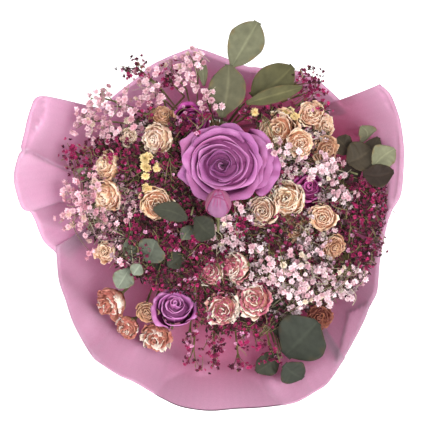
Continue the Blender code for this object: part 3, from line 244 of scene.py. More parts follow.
# Its inner petals: angle and width in degrees, rim, level, curl, spiral, and where the whorl's middle is
BIG_INNER = (
    (196.0, 150.0, 0.70, 0.81, 0.070, 0.12, -2.6, -2.4),
    (318.0, 150.0, 0.66, 0.83, 0.065, 0.12, -2.6, -2.4),
    (80.0, 165.0, 0.65, 0.85, 0.045, 0.12, -2.6, -2.4),
    (250.0, 150.0, 0.58, 0.86, 0.060, 0.12, -3.2, -2.6),
    (12.0, 150.0, 0.56, 0.86, 0.055, 0.12, -3.2, -2.6),
    (136.0, 140.0, 0.53, 0.88, 0.045, 0.12, -3.2, -2.6),
    (215.0, 160.0, 0.45, 0.89, 0.055, 0.14, -3.6, -2.8),
    (338.0, 160.0, 0.42, 0.90, 0.050, 0.14, -3.6, -2.8),
    (98.0, 165.0, 0.40, 0.91, 0.040, 0.14, -3.6, -2.8),
    (275.0, 200.0, 0.30, 0.92, 0.040, 0.18, -3.6, -2.8),
    (85.0, 200.0, 0.28, 0.93, 0.030, 0.18, -3.6, -2.8),
    (190.0, 200.0, 0.18, 0.94, 0.020, 0.20, -3.4, -2.8),
    (10.0, 200.0, 0.17, 0.94, 0.020, 0.20, -3.4, -2.8),
)
BIG_SEED = 11
BIG_MIDDLE = (-2.4, -2.6)
BIG_CORE_MIDDLE = (-3.0, -2.8)
BIG_HEART_MIDDLE = (-3.4, -3.0)
OUTER_SQUASH = 0.97
INNER_SQUASH = 0.86
CORE_SQUASH = 0.90
# Painted shade on its innermost petals: how light they are left, and the rims between which that ends
HEART_SHADE = 0.42
HEART_REACH = (0.12, 0.62)
# Petals of the bud: angle and half width in degrees, how much wider at the tip, size, length, tone
BUD_PETALS = (
    (90.0, 185.0, 0.0, 0.90, 1.00, "bud"),
    (90.0, 84.0, 0.1, 0.96, 1.00, "bud_side"),
    (-78.0, 72.0, 0.1, 0.95, 0.93, "bud"),
    (-102.0, 60.0, 0.0, 0.99, 0.88, "bud"),
    (176.0, 36.0, 0.7, 1.04, 0.99, "bud_side"),
    (2.0, 36.0, 0.7, 1.05, 0.98, "bud_side"),
)
BUD_EDGE = (0.30, 0.03, 0.12)
BUD_STREAKS = (-118.0, -96.0, -80.0)
STREAK_WIDTH = 0.05
BUD_SEED = 5
BUD_NOTCH = 0.14
BUD_CRINKLE = 0.012

# Thicknesses of petals and sepals, in millimetres
OUTER_PETAL = 0.5
INNER_PETAL = 0.45
MAUVE_PETAL = 0.35
BUD_THICKNESS = 0.35
SPRAY_PETAL = 0.24
HEART_THICKNESS = 0.25
CORE_THICKNESS = 0.3
SEPAL_THICKNESS = 0.3

# The core of a rose: how wide it is, and how low and how high it reaches
BIG_CORE = (0.66, 0.60, 0.80)
SPRAY_CORE = (0.86, 0.44, 0.84)
MAUVE_CORE = (0.80, 0.50, 0.80)
CORE_ROWS = 9
CORE_COLUMNS = 25
# Painted shade that darkens the core toward its middle, between these reaches in millimetres, and how far its
# colour is from the cup's toward the body's
CORE_SHADE = (-2.0, 9.0)
CORE_SHARE = 0.30
# The heart of a rose: how wide it is, and how high
BIG_HEART = (0.07, 0.86)
SPRAY_HEART = (0.12, 0.94)
MAUVE_HEART = (0.14, 0.95)
HEART_PETALS = 3

# Sepals, longer under a bloom that leans aside, and the hip: its radius along its levels
SEPALS = 5
SEPAL_LENGTHS = {"spray": 0.55, "leaning": 0.9, "mauve": 0.55, "big": 0.45, "bud": 0.30}
LEANING = 0.45
SEPAL_COLOUR = (0.17, 0.16, 0.06)
HIP_SHARE = 0.26
HIP_LEVELS = (-0.04, 0.05, 0.12, 0.18)
HIP_RADII = (0.10, 0.2, 0.27, 0.26, 0.12)
HIP_SIDES = 10
HIP_COLOUR = (0.16, 0.15, 0.06)

# The waves that add up to the folds of a petal
CRUMPLE_WAVES = 5
CRUMPLE_ACROSS = (3.0, 14.0)
CRUMPLE_ALONG = (-9.0, 9.0)
CRUMPLE_HEIGHT = 0.38
# How much more petals with a broad coloured rim are crumpled
RIMMED_CRINKLE = 1.35

# Petal colours: body, rim, cup. A rim lighter than the body is partly the petal's own pale edge and partly
# painted highlight; the cup colour, the petal's own darker base, is also used as painted shade in folds and
# deep in a bloom
TONES = {
    "peach": ((0.94, 0.63, 0.44), (1.00, 0.87, 0.74), (0.46, 0.14, 0.06)),
    "beige": ((0.92, 0.68, 0.53), (1.00, 0.88, 0.79), (0.42, 0.16, 0.09)),
    "cream": ((1.00, 0.79, 0.60), (1.00, 0.93, 0.83), (0.50, 0.18, 0.07)),
    "tan": ((0.68, 0.37, 0.26), (0.46, 0.13, 0.11), (0.32, 0.07, 0.05)),
    "brown": ((0.62, 0.34, 0.21), (0.80, 0.56, 0.42), (0.22, 0.06, 0.03)),
    "magenta": ((0.90, 0.62, 0.46), (0.44, 0.010, 0.15), (0.36, 0.06, 0.06)),
    "dark": ((0.30, 0.10, 0.07), (0.36, 0.14, 0.10), (0.08, 0.012, 0.012)),
    "mauve": ((0.52, 0.16, 0.43), (0.70, 0.34, 0.61), (0.10, 0.006, 0.06)),
    "fuchsia": ((0.66, 0.12, 0.42), (0.80, 0.26, 0.56), (0.20, 0.010, 0.09)),
    "wine": ((0.42, 0.05, 0.28), (0.55, 0.12, 0.40), (0.10, 0.006, 0.04)),
    "bud": ((0.26, 0.11, 0.21), (0.30, 0.14, 0.25), (0.18, 0.04, 0.13)),
    "bud_side": ((0.28, 0.09, 0.16), (0.30, 0.11, 0.19), (0.20, 0.035, 0.08)),
    "big": ((0.43, 0.14, 0.345), (0.57, 0.25, 0.48), (0.15, 0.012, 0.09)),
}
# Tones with a deep cup, and how far along a petal its cup ends; in these the dark cup colour reaches far up
# the petal as painted shade between the whorls
SILKY = ("big", "mauve", "fuchsia", "wine")
DEEP_CUP = (0.36, 0.90)
SMALL_CUP = (0.2, 0.8)
# Tones with a broad rim, how far along a petal its rim starts, and how many have the coloured one
RIMMED = ("magenta", "tan")
RIM_START = 0.82
WIDE_RIM_START = 0.40
RIMMED_SHARE = 0.68
# Petals more crumpled than this are dried ones, and some have a brown tip
DRY_CRINKLE = 0.02
BROWN_TIP = (0.40, 0.16, 0.06)
BROWN_TIP_SHARE = 0.3
# How much painted shade crumpling puts in the folds, partly the brown of dried valleys, at most, and how much
# lighter their ridges are drawn as painted highlight
FOLD_SHADE = 9.0
MOST_SHADE = 0.6
FOLD_SHINE = 1.05

# Leaves as in the part's source: base and tip in pixels, width, how far out both stand, where it is
# broadest, and how far it cups, with a colour and how much larger the blade is
LEAVES = {
    "leafy_stem_top": (
        ((231, 68), (258, 21), 27.0, -6.0, 8.0, 1.25, 2.0, "grey", 1.02),
        ((222, 118), (229, 65), 28.0, -4.0, 6.0, 1.1, 2.0, "moss", 1.03),
        ((252, 97), (293, 66), 28.0, -8.0, 2.0, 1.0, 2.5, "olive", 1.08),
        ((246, 104), (303, 87), 11.0, 4.0, 6.0, 1.0, 1.5, "olive", 1.1),
        ((258, 134), (282, 109), 9.0, -34.0, -8.0, 1.0, 1.2, "olive", 1.1),
        ((204, 86), (202, 58), 7.0, -8.0, 0.0, 1.0, 1.0, "grey", 1.0),
    ),
    "leafy_stem_left": (
        ((95, 176), (77, 170), 8.0, -4.0, 0.0, 1.0, 1.0, "grey", 1.1),
        ((142, 246), (124, 254), 14.0, -6.0, 0.0, 1.1, 1.5, "stone", 1.35),
        ((141, 264), (134, 274), 8.0, 6.0, 12.0, 1.0, 1.0, "pale", 1.4),
        ((130, 268), (118, 288), 13.0, -6.0, 2.0, 1.1, 1.5, "pale", 1.35),
        ((148, 262), (156, 240), 16.0, -2.0, 6.0, 1.1, 1.5, "stone", 1.5),
    ),
    "leafy_stem_middle": (
        ((188, 219), (154, 209), 12.0, 2.0, 8.0, 1.0, 1.5, "dark", 1.3),
        ((193, 226), (182, 239), 9.0, 0.0, 6.0, 1.0, 1.0, "stone", 1.2),
        ((195, 218), (214, 236), 16.0, 0.0, 8.0, 1.1, 2.0, "dark", 1.3),
        ((184, 254), (168, 266), 10.0, -4.0, 2.0, 1.0, 1.0, "dark", 1.4),
    ),
    "leafy_stem_right": (
        ((347, 163), (371, 149), 19.0, 2.0, 10.0, 1.1, 2.0, "bronze", 1.4),
        ((373, 166), (394, 149), 17.0, 4.0, 18.0, 1.0, 1.5, "grey", 1.35),
        ((362, 143), (361, 126), 13.0, -4.0, 6.0, 1.1, 1.5, "grey", 1.5),
        ((362, 174), (393, 172), 13.0, 0.0, 14.0, 1.0, 1.5, "umber", 1.5),
        ((351, 152), (337, 138), 12.0, -4.0, 4.0, 1.0, 1.5, "bronze", 1.4),
    ),
    "leafy_stem_low": (
        ((285, 355), (317, 321), 37.0, -4.0, 8.0, 1.05, 3.0, "deep", 1.1),
        ((281, 338), (270, 293), 18.0, -10.0, 0.0, 1.0, 2.0, "dark", 1.25),
        ((284, 364), (303, 378), 14.0, -8.0, -4.0, 1.0, 1.5, "deep", 1.6),
        ((278, 354), (256, 372), 12.0, -6.0, 0.0, 1.0, 1.5, "dark", 1.6),
    ),
}
# Leaves that turn about their rib, in degrees, and bend aside, as a share of their length
LEAF_TURNS = {
    ("leafy_stem_right", 0): (14.0, 0.06),
    ("leafy_stem_right", 1): (-34.0, -0.05),
    ("leafy_stem_right", 2): (-48.0, 0.34),
    ("leafy_stem_right", 3): (26.0, 0.10),
    ("leafy_stem_right", 4): (-20.0, 0.0),
    ("leafy_stem_low", 1): (22.0, 0.05),
    ("leafy_stem_low", 2): (-24.0, 0.08),
    ("leafy_stem_low", 3): (22.0, -0.08),
    ("leafy_stem_left", 1): (24.0, 0.06),
    ("leafy_stem_left", 3): (-20.0, 0.0),
    ("leafy_stem_left", 4): (24.0, 0.0),
    ("leafy_stem_middle", 0): (22.0, 0.08),
    ("leafy_stem_middle", 2): (-26.0, 0.06),
    ("leafy_stem_top", 1): (10.0, 0.03),
    ("leafy_stem_top", 2): (16.0, 0.05),
}
# Where a blade has corners in the part's source, its shape, and how far it may have been moved
LEAF_STATIONS = (0.0, 0.3, 0.68, 1.0)
LEAF_FULLNESS = 0.7
LEAF_BOW = 0.07
LEAF_WAVE = 0.04
LEAF_SHIFTS = (0, 3, -3, 6, -6, 9, -9, 12, -12, 15, -15, 18, -18, 22, -22, 26)
LEAF_THICKNESS = 0.5
LEAF_SEED = 7

# Leaves wider than this have a finer grid
LARGE_LEAF = 15.0
LARGE_LEAF_GRID = (30, 17)
SMALL_LEAF_GRID = (20, 11)
# Relief as shares of the leaf's width
RIB_DEPTH = 0.028
VEIN_DEPTH = 0.006
LEAF_EDGE_WAVE = 0.035
LEAF_FOLD = 0.035
# Leaf colours, and the dry brown of their edges
DRY_EDGE = (0.20, 0.13, 0.05)
DRY_SHARE = 0.55
LEAF_TONES = {
    "grey": (0.160, 0.160, 0.095),
    "moss": (0.110, 0.104, 0.060),
    "olive": (0.086, 0.080, 0.034),
    "dark": (0.031, 0.032, 0.020),
    "pale": (0.200, 0.225, 0.170),
    "stone": (0.090, 0.100, 0.074),
    "deep": (0.030, 0.034, 0.024),
    "bronze": (0.048, 0.036, 0.022),
    "umber": (0.028, 0.017, 0.012),
}
# Leaves behind those of the part's source
MORE_LEAVES = {
    "leafy_stem_right": (
        ((364, 166), (379, 137), 12.0, -6.0, 4.0, 1.0, 1.5, "bronze", 1.3),
        ((362, 168), (343, 174), 12.0, -6.0, -2.0, 1.0, 1.5, "umber", 1.4),
        ((384, 172), (395, 143), 8.0, -4.0, 10.0, 1.0, 1.5, "moss", 1.2),
    ),
    "leafy_stem_left": (
        ((150, 262), (172, 262), 13.0, -8.0, -4.0, 1.0, 1.5, "dark", 1.2),
    ),
}

# Gypsophila florets seen in the picture, in pixels
GYPSOPHILA = {
    "gypsophila_top_left": (
        (103, 91), (98, 95), (102, 98), (89, 103), (97, 111), (86, 118), (91, 119), (86, 124), (76, 129),
        (103, 134), (110, 130), (96, 136), (110, 119), (119, 105), (125, 90), (137, 111), (130, 122),
        (134, 129), (139, 77), (159, 69), (156, 89), (150, 91), (147, 103), (157, 98), (201, 54), (196, 54),
        (188, 58), (181, 64), (192, 67), (199, 69), (182, 75), (175, 72), (181, 84), (201, 90), (211, 99),
        (216, 105), (209, 105), (201, 106), (108, 96), (84, 112), (104, 106), (112, 112), (92, 124),
        (100, 122), (90, 132), (116, 126), (122, 112), (128, 98), (144, 84), (150, 76), (168, 66),
        (176, 60), (186, 66), (194, 62), (204, 60), (190, 80), (196, 84), (206, 92), (144, 96),
        (140, 104), (126, 130), (118, 136),
    ),
    "gypsophila_left": (
        (81, 182), (76, 194), (84, 197), (74, 202), (66, 211), (81, 218), (69, 224), (61, 219), (63, 194),
        (85, 205), (92, 182), (96, 176), (90, 218), (91, 252), (119, 262), (130, 220), (70, 188),
        (88, 190), (66, 200), (92, 196), (78, 208), (90, 210), (72, 216), (84, 226), (98, 205), (100, 214),
        (96, 226), (104, 222), (66, 184), (98, 188), (88, 234), (112, 228),
    ),
    "gypsophila_right": (
        (269, 150), (275, 153), (282, 156), (280, 162), (288, 148), (305, 169), (306, 162), (315, 170),
        (322, 156), (330, 162), (336, 171), (323, 169), (328, 173), (332, 180), (333, 194),
        (342, 201), (354, 192), (341, 190), (296, 160), (300, 152), (338, 164), (326, 182),
        (340, 178), (348, 196), (286, 166), (294, 172),
    ),
    "gypsophila_low_right": (
        (289, 287), (298, 286), (307, 283), (289, 294), (300, 295), (303, 288), (306, 302), (320, 301),
        (323, 291), (330, 292), (336, 289), (353, 271), (337, 276), (347, 282), (359, 280), (363, 274),
        (291, 269), (292, 279), (308, 263), (308, 278), (317, 278), (291, 251), (330, 271), (318, 252),
        (305, 246), (299, 257), (352, 299), (259, 250), (272, 276), (272, 266), (279, 267), (278, 282),
        (256, 280), (296, 276), (302, 270), (314, 270), (324, 280), (318, 288), (328, 298), (312, 296),
        (296, 304), (284, 290), (344, 288), (330, 284), (340, 268), (310, 250), (300, 264), (285, 262),
        (264, 262), (284, 274),
    ),
    "gypsophila_middle": (
        (237, 211), (229, 225), (235, 202), (236, 232), (245, 242), (258, 250), (230, 242), (221, 224),
        (219, 239), (251, 217),
    ),
}

# Wine-red statice florets seen in the picture, in pixels
STATICE = {
    "statice_top_left": (
        (67, 143), (68, 155), (73, 148), (78, 163), (71, 170), (82, 152), (91, 146), (86, 177), (120, 147),
        (127, 154), (132, 162), (109, 143), (115, 149), (112, 158), (124, 160), (135, 152), (130, 143),
        (120, 139), (100, 141), (137, 63), (124, 69), (142, 65), (170, 77), (172, 66), (164, 82), (148, 111),
        (128, 72), (133, 66), (138, 70), (131, 76), (145, 73), (166, 72), (174, 70), (171, 86), (160, 88),
        (168, 78), (76, 159), (70, 149), (88, 158), (94, 152), (84, 168), (98, 150), (118, 152), (122, 165),
    ),
    "statice_right": (
        (299, 77), (304, 79), (316, 77), (315, 81), (316, 87), (307, 88), (303, 92), (321, 90), (314, 96),
        (322, 96), (314, 102), (319, 107), (301, 70), (321, 76), (291, 105), (345, 182), (352, 188),
        (362, 184), (371, 181), (380, 190), (366, 195), (375, 202), (382, 208), (370, 213), (362, 221),
        (376, 224), (380, 236), (368, 238), (374, 250), (364, 256), (355, 262), (370, 266), (352, 249),
        (344, 268), (357, 205), (348, 214), (353, 232),
    ),
    "statice_middle": (
        (208, 117), (242, 113), (260, 101), (268, 117), (162, 150), (168, 156), (173, 162), (166, 165),
        (185, 118), (191, 122), (197, 118), (194, 128), (187, 128),
        (182, 124), (188, 133), (200, 124), (192, 115), (203, 119), (181, 131), (197, 133), (184, 112),
        (239, 223), (243, 230), (238, 234), (246, 219), (196, 214), (188, 213), (172, 223), (178, 221),
        (172, 231), (157, 235), (181, 237), (172, 240), (176, 247), (168, 254), (197, 239), (189, 254),
        (211, 250), (220, 261), (207, 259), (274, 231), (274, 254), (134, 224), (139, 231), (133, 238),
        (143, 240), (202, 248),
    ),
    "statice_low": (
        (150, 274), (159, 279), (193, 269), (197, 279), (176, 278), (190, 335), (192, 345), (205, 323),
        (207, 314), (209, 340), (221, 338), (223, 347), (202, 350), (215, 353), (217, 364), (212, 369),
        (188, 362), (199, 366), (239, 336), (245, 340), (240, 344), (257, 344), (265, 343), (255, 325),
        (241, 364), (233, 366), (250, 367), (279, 354), (267, 360),
    ),
}
# Cream buds seen in the picture, in pixels
CREAM = {
    "cream_spray": (
        (150, 157), (145, 166.5), (157, 169), (146, 176), (148, 189), (285.5, 112.5), (295.4, 116.7),
        (254.4, 113),
    ),
}
# Floret radius and length in the part's source, how far out of the dome they stand, and where along
# them their middle is
SOURCE_FLORETS = {"gypsophila": (2.1, 3.4, 6.0), "statice": (1.7, 4.0, 4.0), "cream": (2.9, 5.0, 3.0)}
FLORET_MIDDLE = 0.55

# Where flowers fill the face, in pixels, and the spots where the paper shows between them
FACE_EDGE = (
    (84, 168), (104, 140), (126, 122), (170, 112), (200, 122), (246, 116), (268, 108), (330, 108), (336, 146),
    (346, 180), (386, 188), (383, 236), (374, 262), (356, 290), (330, 306), (300, 312), (290, 325),
    (256, 330), (214, 330), (188, 318), (184, 290), (150, 284), (128, 276), (116, 262), (96, 240), (84, 214),
)
BARE_SPOTS = (
    (195, 309, 6), (200, 290, 6), (267, 315, 6), (134, 293, 6), (132, 308, 6), (157, 296, 6), (157, 316, 6),
    (350, 225, 6), (362, 237, 6), (309, 187, 15), (392, 213, 8), (387, 249, 8),
)
FILL_STEP = 8
FILL_DEPTHS = (-4.0, -12.0, -24.0)
FILL_SEED = 7
WINE_SHARE = 0.35
# Stalks that end deeper than this carry no heads, only dark bracts drawn near black as painted shade deep
# among the flowers
BARE_DEPTH = -20.0
SHADED_BRACTS = ((0.030, 0.008, 0.012), (0.075, 0.055, 0.025))
BRACT_SIZES = (4.0, 6.5)

# Room in millimetres before and behind the blooms, and in head sizes to the paper and to the floor
FRONT_GAP = 1.0
BACK_GAP = 2.0
BALL_EDGE = 0.98
PAPER_ROOM = 1.6
FLOOR_ROOM = 2.0
OUT_STEP = 2.0
MOST_OUT = 60.0
ROOM_ROUNDS = 4

# Stalks, and what makes a twig a poor one to grow from: far aside, too near, or not as long as this
STALK_LENGTH = 14.0
ASIDE_COST = 1.6
SHORT_SHARE = 0.4
SHORT_COST = 60.0
STALK_RADIUS = 0.36
FRONT_STEPS = 6
BACK_STEPS = 4
TWIGLET_SHARE = 0.35
TWIGLET_LENGTHS = (9.0, 17.0)
TWIGLET_RADII = (0.34, 0.2)
TWIGLET_STEPS = 7

# How close the corners of a CAD mesh are to be joined, in metres, and to be left out with a blade, in
# millimetres, and the holes that this leaves
WELD = 1e-6
DROP_REACH = 0.45
HOLE_SIDES = 8
# How far a floret's sides may be off, how far its corners reach in radii, and how small they are drawn
SIDE_SLACK = 0.06
HEAD_REACH = 1.3
HEAD_SHRINK = 0.35

# A keeled petal's faces, over its base, side, tip, other side and keel, and how deep the keel is
KEELED = ((0, 1, 2), (0, 2, 3), (1, 0, 4), (2, 1, 4), (3, 2, 4), (0, 3, 4))
KEEL = 0.14

# Sprays whose florets are pinker than the others
SPRAY_TINTS = {"gypsophila_left": (0.98, 0.82, 0.87), "gypsophila_top_left": (0.99, 0.89, 0.92)}

# Heads on a stalk: how many, how far apart, size, colours from dark to light, odd ones, and the stalks
KINDS = {
    "gypsophila": {
        "heads": (2, 3), "spread": 2.2, "size": 2.5, "bias": 0.7, "low": (0.62, 0.34, 0.40),
        "high": (0.99, 0.86, 0.88), "odd": 0.06, "odd_colour": (0.82, 0.74, 0.60),
        "stalks": ((0.13, 0.11, 0.05), (0.45, 0.40, 0.28)),
    },
    "statice": {
        "heads": (4, 5), "spread": 2.2, "size": 1.8, "bias": 1.5, "low": (0.045, 0.004, 0.014),
        "high": (0.54, 0.025, 0.155), "odd": 0.09, "odd_colour": (0.68, 0.32, 0.48),
        "stalks": ((0.09, 0.07, 0.03), (0.24, 0.20, 0.08)),
    },
    "cream": {
        "heads": (1, 1), "spread": 0.0, "size": 3.9, "bias": 1.0, "low": (0.78, 0.60, 0.30),
        "high": (0.92, 0.79, 0.46), "odd": 0.0, "odd_colour": (1.0, 1.0, 1.0),
        "stalks": ((0.13, 0.12, 0.05), (0.20, 0.18, 0.08)),
    },
}

# Shapes of a head: how many, colours from its middle to its tips, and rings of petals, each with its
# count, reach, rise and width
PALE = ((0.82, 0.64, 0.68), (1.0, 0.98, 0.99))
RED = ((0.5, 0.5, 0.6), (1.0, 1.0, 1.0))
WARM = ((0.75, 0.62, 0.42), (1.0, 1.0, 1.0))
HEAD_SHAPES = {
    "gypsophila": (
        6, PALE, (8, 1.0, 0.0, 0.27), (8, 0.92, 0.45, 0.26), (6, 0.6, 0.8, 0.22), (3, 0.25, 1.0, 0.18)),
    "gypsophila_small": (4, PALE, (6, 0.95, 0.2, 0.32), (4, 0.5, 0.8, 0.28)),
    "statice": (5, RED, (5, 0.95, 0.55, 0.40), (3, 0.4, 0.95, 0.3)),
    "statice_small": (4, RED, (5, 0.9, 0.7, 0.42)),
    "cream": (
        3, WARM, (9, 1.0, 0.05, 0.34), (8, 0.9, 0.45, 0.34), (6, 0.6, 0.8, 0.3), (4, 0.3, 1.0, 0.25)),
    "cream_small": (2, WARM, (7, 0.95, 0.3, 0.36)),
    "bract": (4, RED, (3, 1.0, 0.3, 0.20)),
}
SHAPE_SEED = 3

# The paper's edge in the picture, with each sheet's place in the stack, as in the part's source but
# with ends that reach further behind the next sheet
SHEETS = {
    "wrap_bottom": (
        0,
        (
            (56, 246), (57, 264), (59, 282), (65, 299), (74, 325), (92, 356), (104, 366), (120, 376),
            (134, 382), (159, 397), (178, 406), (197, 410), (214, 411), (236, 409), (256, 408), (274, 406),
            (297, 402), (315, 392), (328, 383), (345, 358),
        ),
    ),
    "wrap_right": (
        1,
        (
            (338, 363), (344, 358), (357, 335), (365, 319), (370, 306), (377, 292), (380, 260), (389, 220),
            (401, 197), (404, 170), (404, 145), (400, 119), (391, 95), (380, 84),
        ),
    ),
    "wrap_left_top": (
        2,
        (
            (351, 112), (343, 103), (327, 88), (313, 77), (294, 71), (252, 68), (232, 61), (197, 49),
            (178, 53), (152, 65), (136, 79), (120, 91), (100, 107), (92, 106), (41.6, 96), (30.5, 109),
            (21, 145), (14, 172), (14, 188), (21, 209), (32, 217), (43, 241), (55.5, 253), (62, 262),
        ),
    ),
}

# Soft folds in the paper, seen in the picture: from and to in pixels, height toward the flowers and
# width in millimetres
CREASES = (
    ((38, 218), (66, 228), 1.0, 2.0),
    ((43, 235), (70, 216), -1.0, 2.2),
    ((58, 282), (88, 318), 3.2, 7.0),
    ((88, 318), (134, 349), 3.6, 8.0),
    ((134, 349), (200, 374), 3.6, 8.0),
    ((200, 374), (274, 386), 3.6, 8.0),
    ((274, 386), (325, 362), 2.6, 8.0),
    ((92, 356), (108, 330), 1.4, 3.0),
    ((159, 397), (168, 368), -1.2, 3.0),
    ((214, 411), (214, 380), 1.2, 4.0),
    ((274, 406), (262, 378), -1.4, 4.0),
    ((315, 392), (300, 366), 1.2, 3.0),
    ((164, 60), (172, 84), 1.0, 2.5),
    ((252, 68), (254, 92), -1.0, 2.5),
    ((345, 132), (380, 150), -1.6, 6.0),
    ((386, 180), (383, 215), -1.2, 1.6),
    ((392, 165), (389, 205), 1.0, 1.6),
)
# Folds whose edge stands over what lies beside it: the line in pixels, height toward the flowers, and
# how far it reaches on the left and on the right of its line, in millimetres
FOLDS = (
    (((46, 96), (44, 118), (25, 152)), 3.2, 9.0, 2.0),
    (((25, 152), (80, 178)), 4.2, 1.0, 13.0),
    (((29, 211), (74, 196)), 3.2, 13.0, 1.0),
    (((379, 86), (385, 101), (397, 117), (398, 160), (394, 200)), 1.8, 1.6, 8.0),
    (((374, 302), (350, 315), (339, 361)), 2.0, 9.0, 1.6),
    (((318, 82), (343, 103)), 1.6, 1.2, 7.0),
)
# How softly such a fold ends past its line
FOLD_ENDS = 5.0

# Twine: the turns round the stems, and the two plies that wind round each other
TWINE_RADIUS = 1.1
TWINE_PITCH = 1.8 * TWINE_RADIUS
TWINE_TURNS = 3.0
TWINE_CORNER = math.radians(50.0)
TWINE_POINTS = 240
TWINE_SIDES = 7
PLY_TWISTS = 14.0
PLY_REACH = 0.5
PLY_RADIUS = 0.58
TAIL_RADIUS = 0.7
TAIL_POINTS = 5
TAIL_START = 1.2
TAIL_STEP = 1.1
TAIL_RISE = 0.3
TWINE_COLOUR = (0.50, 0.34, 0.19)

# Ribbon, in millimetres: its tails spread apart, arch over the floor, twist and cup
RIBBON_WIDTH = 16.0
RIBBON_THICKNESS = 0.45
RIBBON_TAIL = 62.0
RIBBON_APART = (2.0, 20.0)
RIBBON_ARCH = 5.0
RIBBON_DROP = 6.0
RIBBON_TWIST = 0.9
RIBBON_CUP = 1.4
RIBBON_NOTCH = 0.10
BAND_WAVE = 0.30
# How far the band lies out of the middle surface of the wrap
BAND_OUT = 2 * LAYER_STEP + 0.4 + 2 * CLEARANCE + 0.4
KNOT_HEIGHT = 3.6
KNOT_RADIUS = 3.7
KNOT_HALF = 5.6
KNOT_WAIST = 1.3
KNOT_FOLD = 0.28
KNOT_THICKNESS = 0.5
RIBBON_COLOUR = (0.74, 0.46, 0.62)

# Materials for painted meshes: roughness, the mottle's scale and its darkest and lightest, the relief
# in metres and its scale, sheen, specular, how much light goes in, and how deep in metres
PAINTED = {
    "dried_petal": (0.80, 700.0, 0.76, 1.16, 0.0007, 900.0, 0.0, 0.2, 0.25, 0.001),
    "preserved_petal": (0.60, 200.0, 0.92, 1.05, 0.00012, 800.0, 0.0, 0.2, 0.25, 0.001),
    "dried_leaf": (0.66, 160.0, 0.80, 1.12, 0.00015, 640.0, 0.04, 0.25, 0.0, 0.001),
    "floret": (0.80, 500.0, 0.85, 1.12, 0.0001, 2000.0, 0.0, 0.4, 0.0, 0.001),
    "wrap_paper": (0.85, 900.0, 0.95, 1.04, 0.0001, 1600.0, 0.0, 0.2, 0.75, 0.0024),
    "ribbon_satin": (0.32, 60.0, 0.95, 1.05, 0.00003, 3000.0, 0.3, 0.4, 0.0, 0.001),
    "twine_jute": (0.92, 900.0, 0.7, 1.15, 0.0002, 3600.0, 0.0, 0.4, 0.0, 0.001),
}
# Bark: roughness, scale, darkest and lightest colour, relief in metres, and the scale along each axis
BARKS = {
    "rose_bark": (0.75, 120.0, (0.10, 0.10, 0.035), (0.24, 0.20, 0.09), 0.0002, (1.0, 1.0, 0.3)),
    "leaf_bark": (0.75, 120.0, (0.11, 0.12, 0.05), (0.22, 0.20, 0.10), 0.0002, (1.0, 1.0, 1.0)),
    "twig_bark": (0.80, 200.0, (0.20, 0.18, 0.07), (0.38, 0.33, 0.16), 0.0001, (1.0, 1.0, 1.0)),
    "wine_twig_bark": (0.80, 200.0, (0.16, 0.13, 0.045), (0.32, 0.25, 0.10), 0.0001, (1.0, 1.0, 1.0)),
}
# How far red, green and blue light scatter, against the material's depth
SCATTER = (1.0, 0.65, 0.8)
NOISE_DETAIL = 6.0
RAMP_STOPS = (0.3, 0.7)


def smooth(value, low=0.0, high=1.0):
    """A smooth step from 0 at low to 1 at high."""
    part = np.clip((np.asarray(value, dtype=float) - low) / (high - low), 0.0, 1.0)
    return part * part * (3.0 - 2.0 * part)


def at(x, y):
    """The point of the face frame, in millimetres, at a pixel of the picture."""
    return np.array(((x - PICTURE_MIDDLE) * MM_PER_PIXEL, (PICTURE_MIDDLE - y) * MM_PER_PIXEL, 0.0))


def dome(across, up):
    """How far out the face of flowers stands."""
    return DOME_RISE - (across * across + up * up) / DOME_SPREAD


def on_dome(x, y, out):
    """The point at a pixel of the picture that stands so far out of the dome."""
    spot = at(x, y)
    spot[2] = dome(spot[0], spot[1]) + out
    return spot


def unit(vector):
    """The vector with length 1, or each of an array of them."""
    return vector / np.maximum(np.linalg.norm(vector, axis=-1, keepdims=True), TINY)


def blend(low, high, part):
    """Colours between two, each by its own part."""
    part = np.asarray(part)[..., None]
    return np.asarray(low) * (1.0 - part) + np.asarray(high) * part


def spans(rows, columns):
    """A column of values from 0 to 1 along a grid, and a row of values from -1 to 1 across it."""
    return np.linspace(0.0, 1.0, rows)[:, None], np.linspace(-1.0, 1.0, columns)[None]


def ring_grid(reach, angle, rise, squash=1.0, middle=(0.0, 0.0)):
    """Points round +Z, from how far out, at what angle and how high they are."""
    x = middle[0] + reach * np.cos(angle)
    y = middle[1] + reach * np.sin(angle) * squash
    return np.stack(np.broadcast_arrays(x, y, rise), axis=-1)


def bell(distance, width):
    """A smooth bump, 1 at no distance."""
    return np.exp(-(distance / width) ** 2)


def to_world(points):
    """Metres in the part's frame, from millimetres in the face frame."""
    return points @ SLANT.T * MM + SHIFT


def to_face(points):
    """Millimetres in the face frame, from metres in the part's frame."""
    return (points - SHIFT) / MM @ SLANT


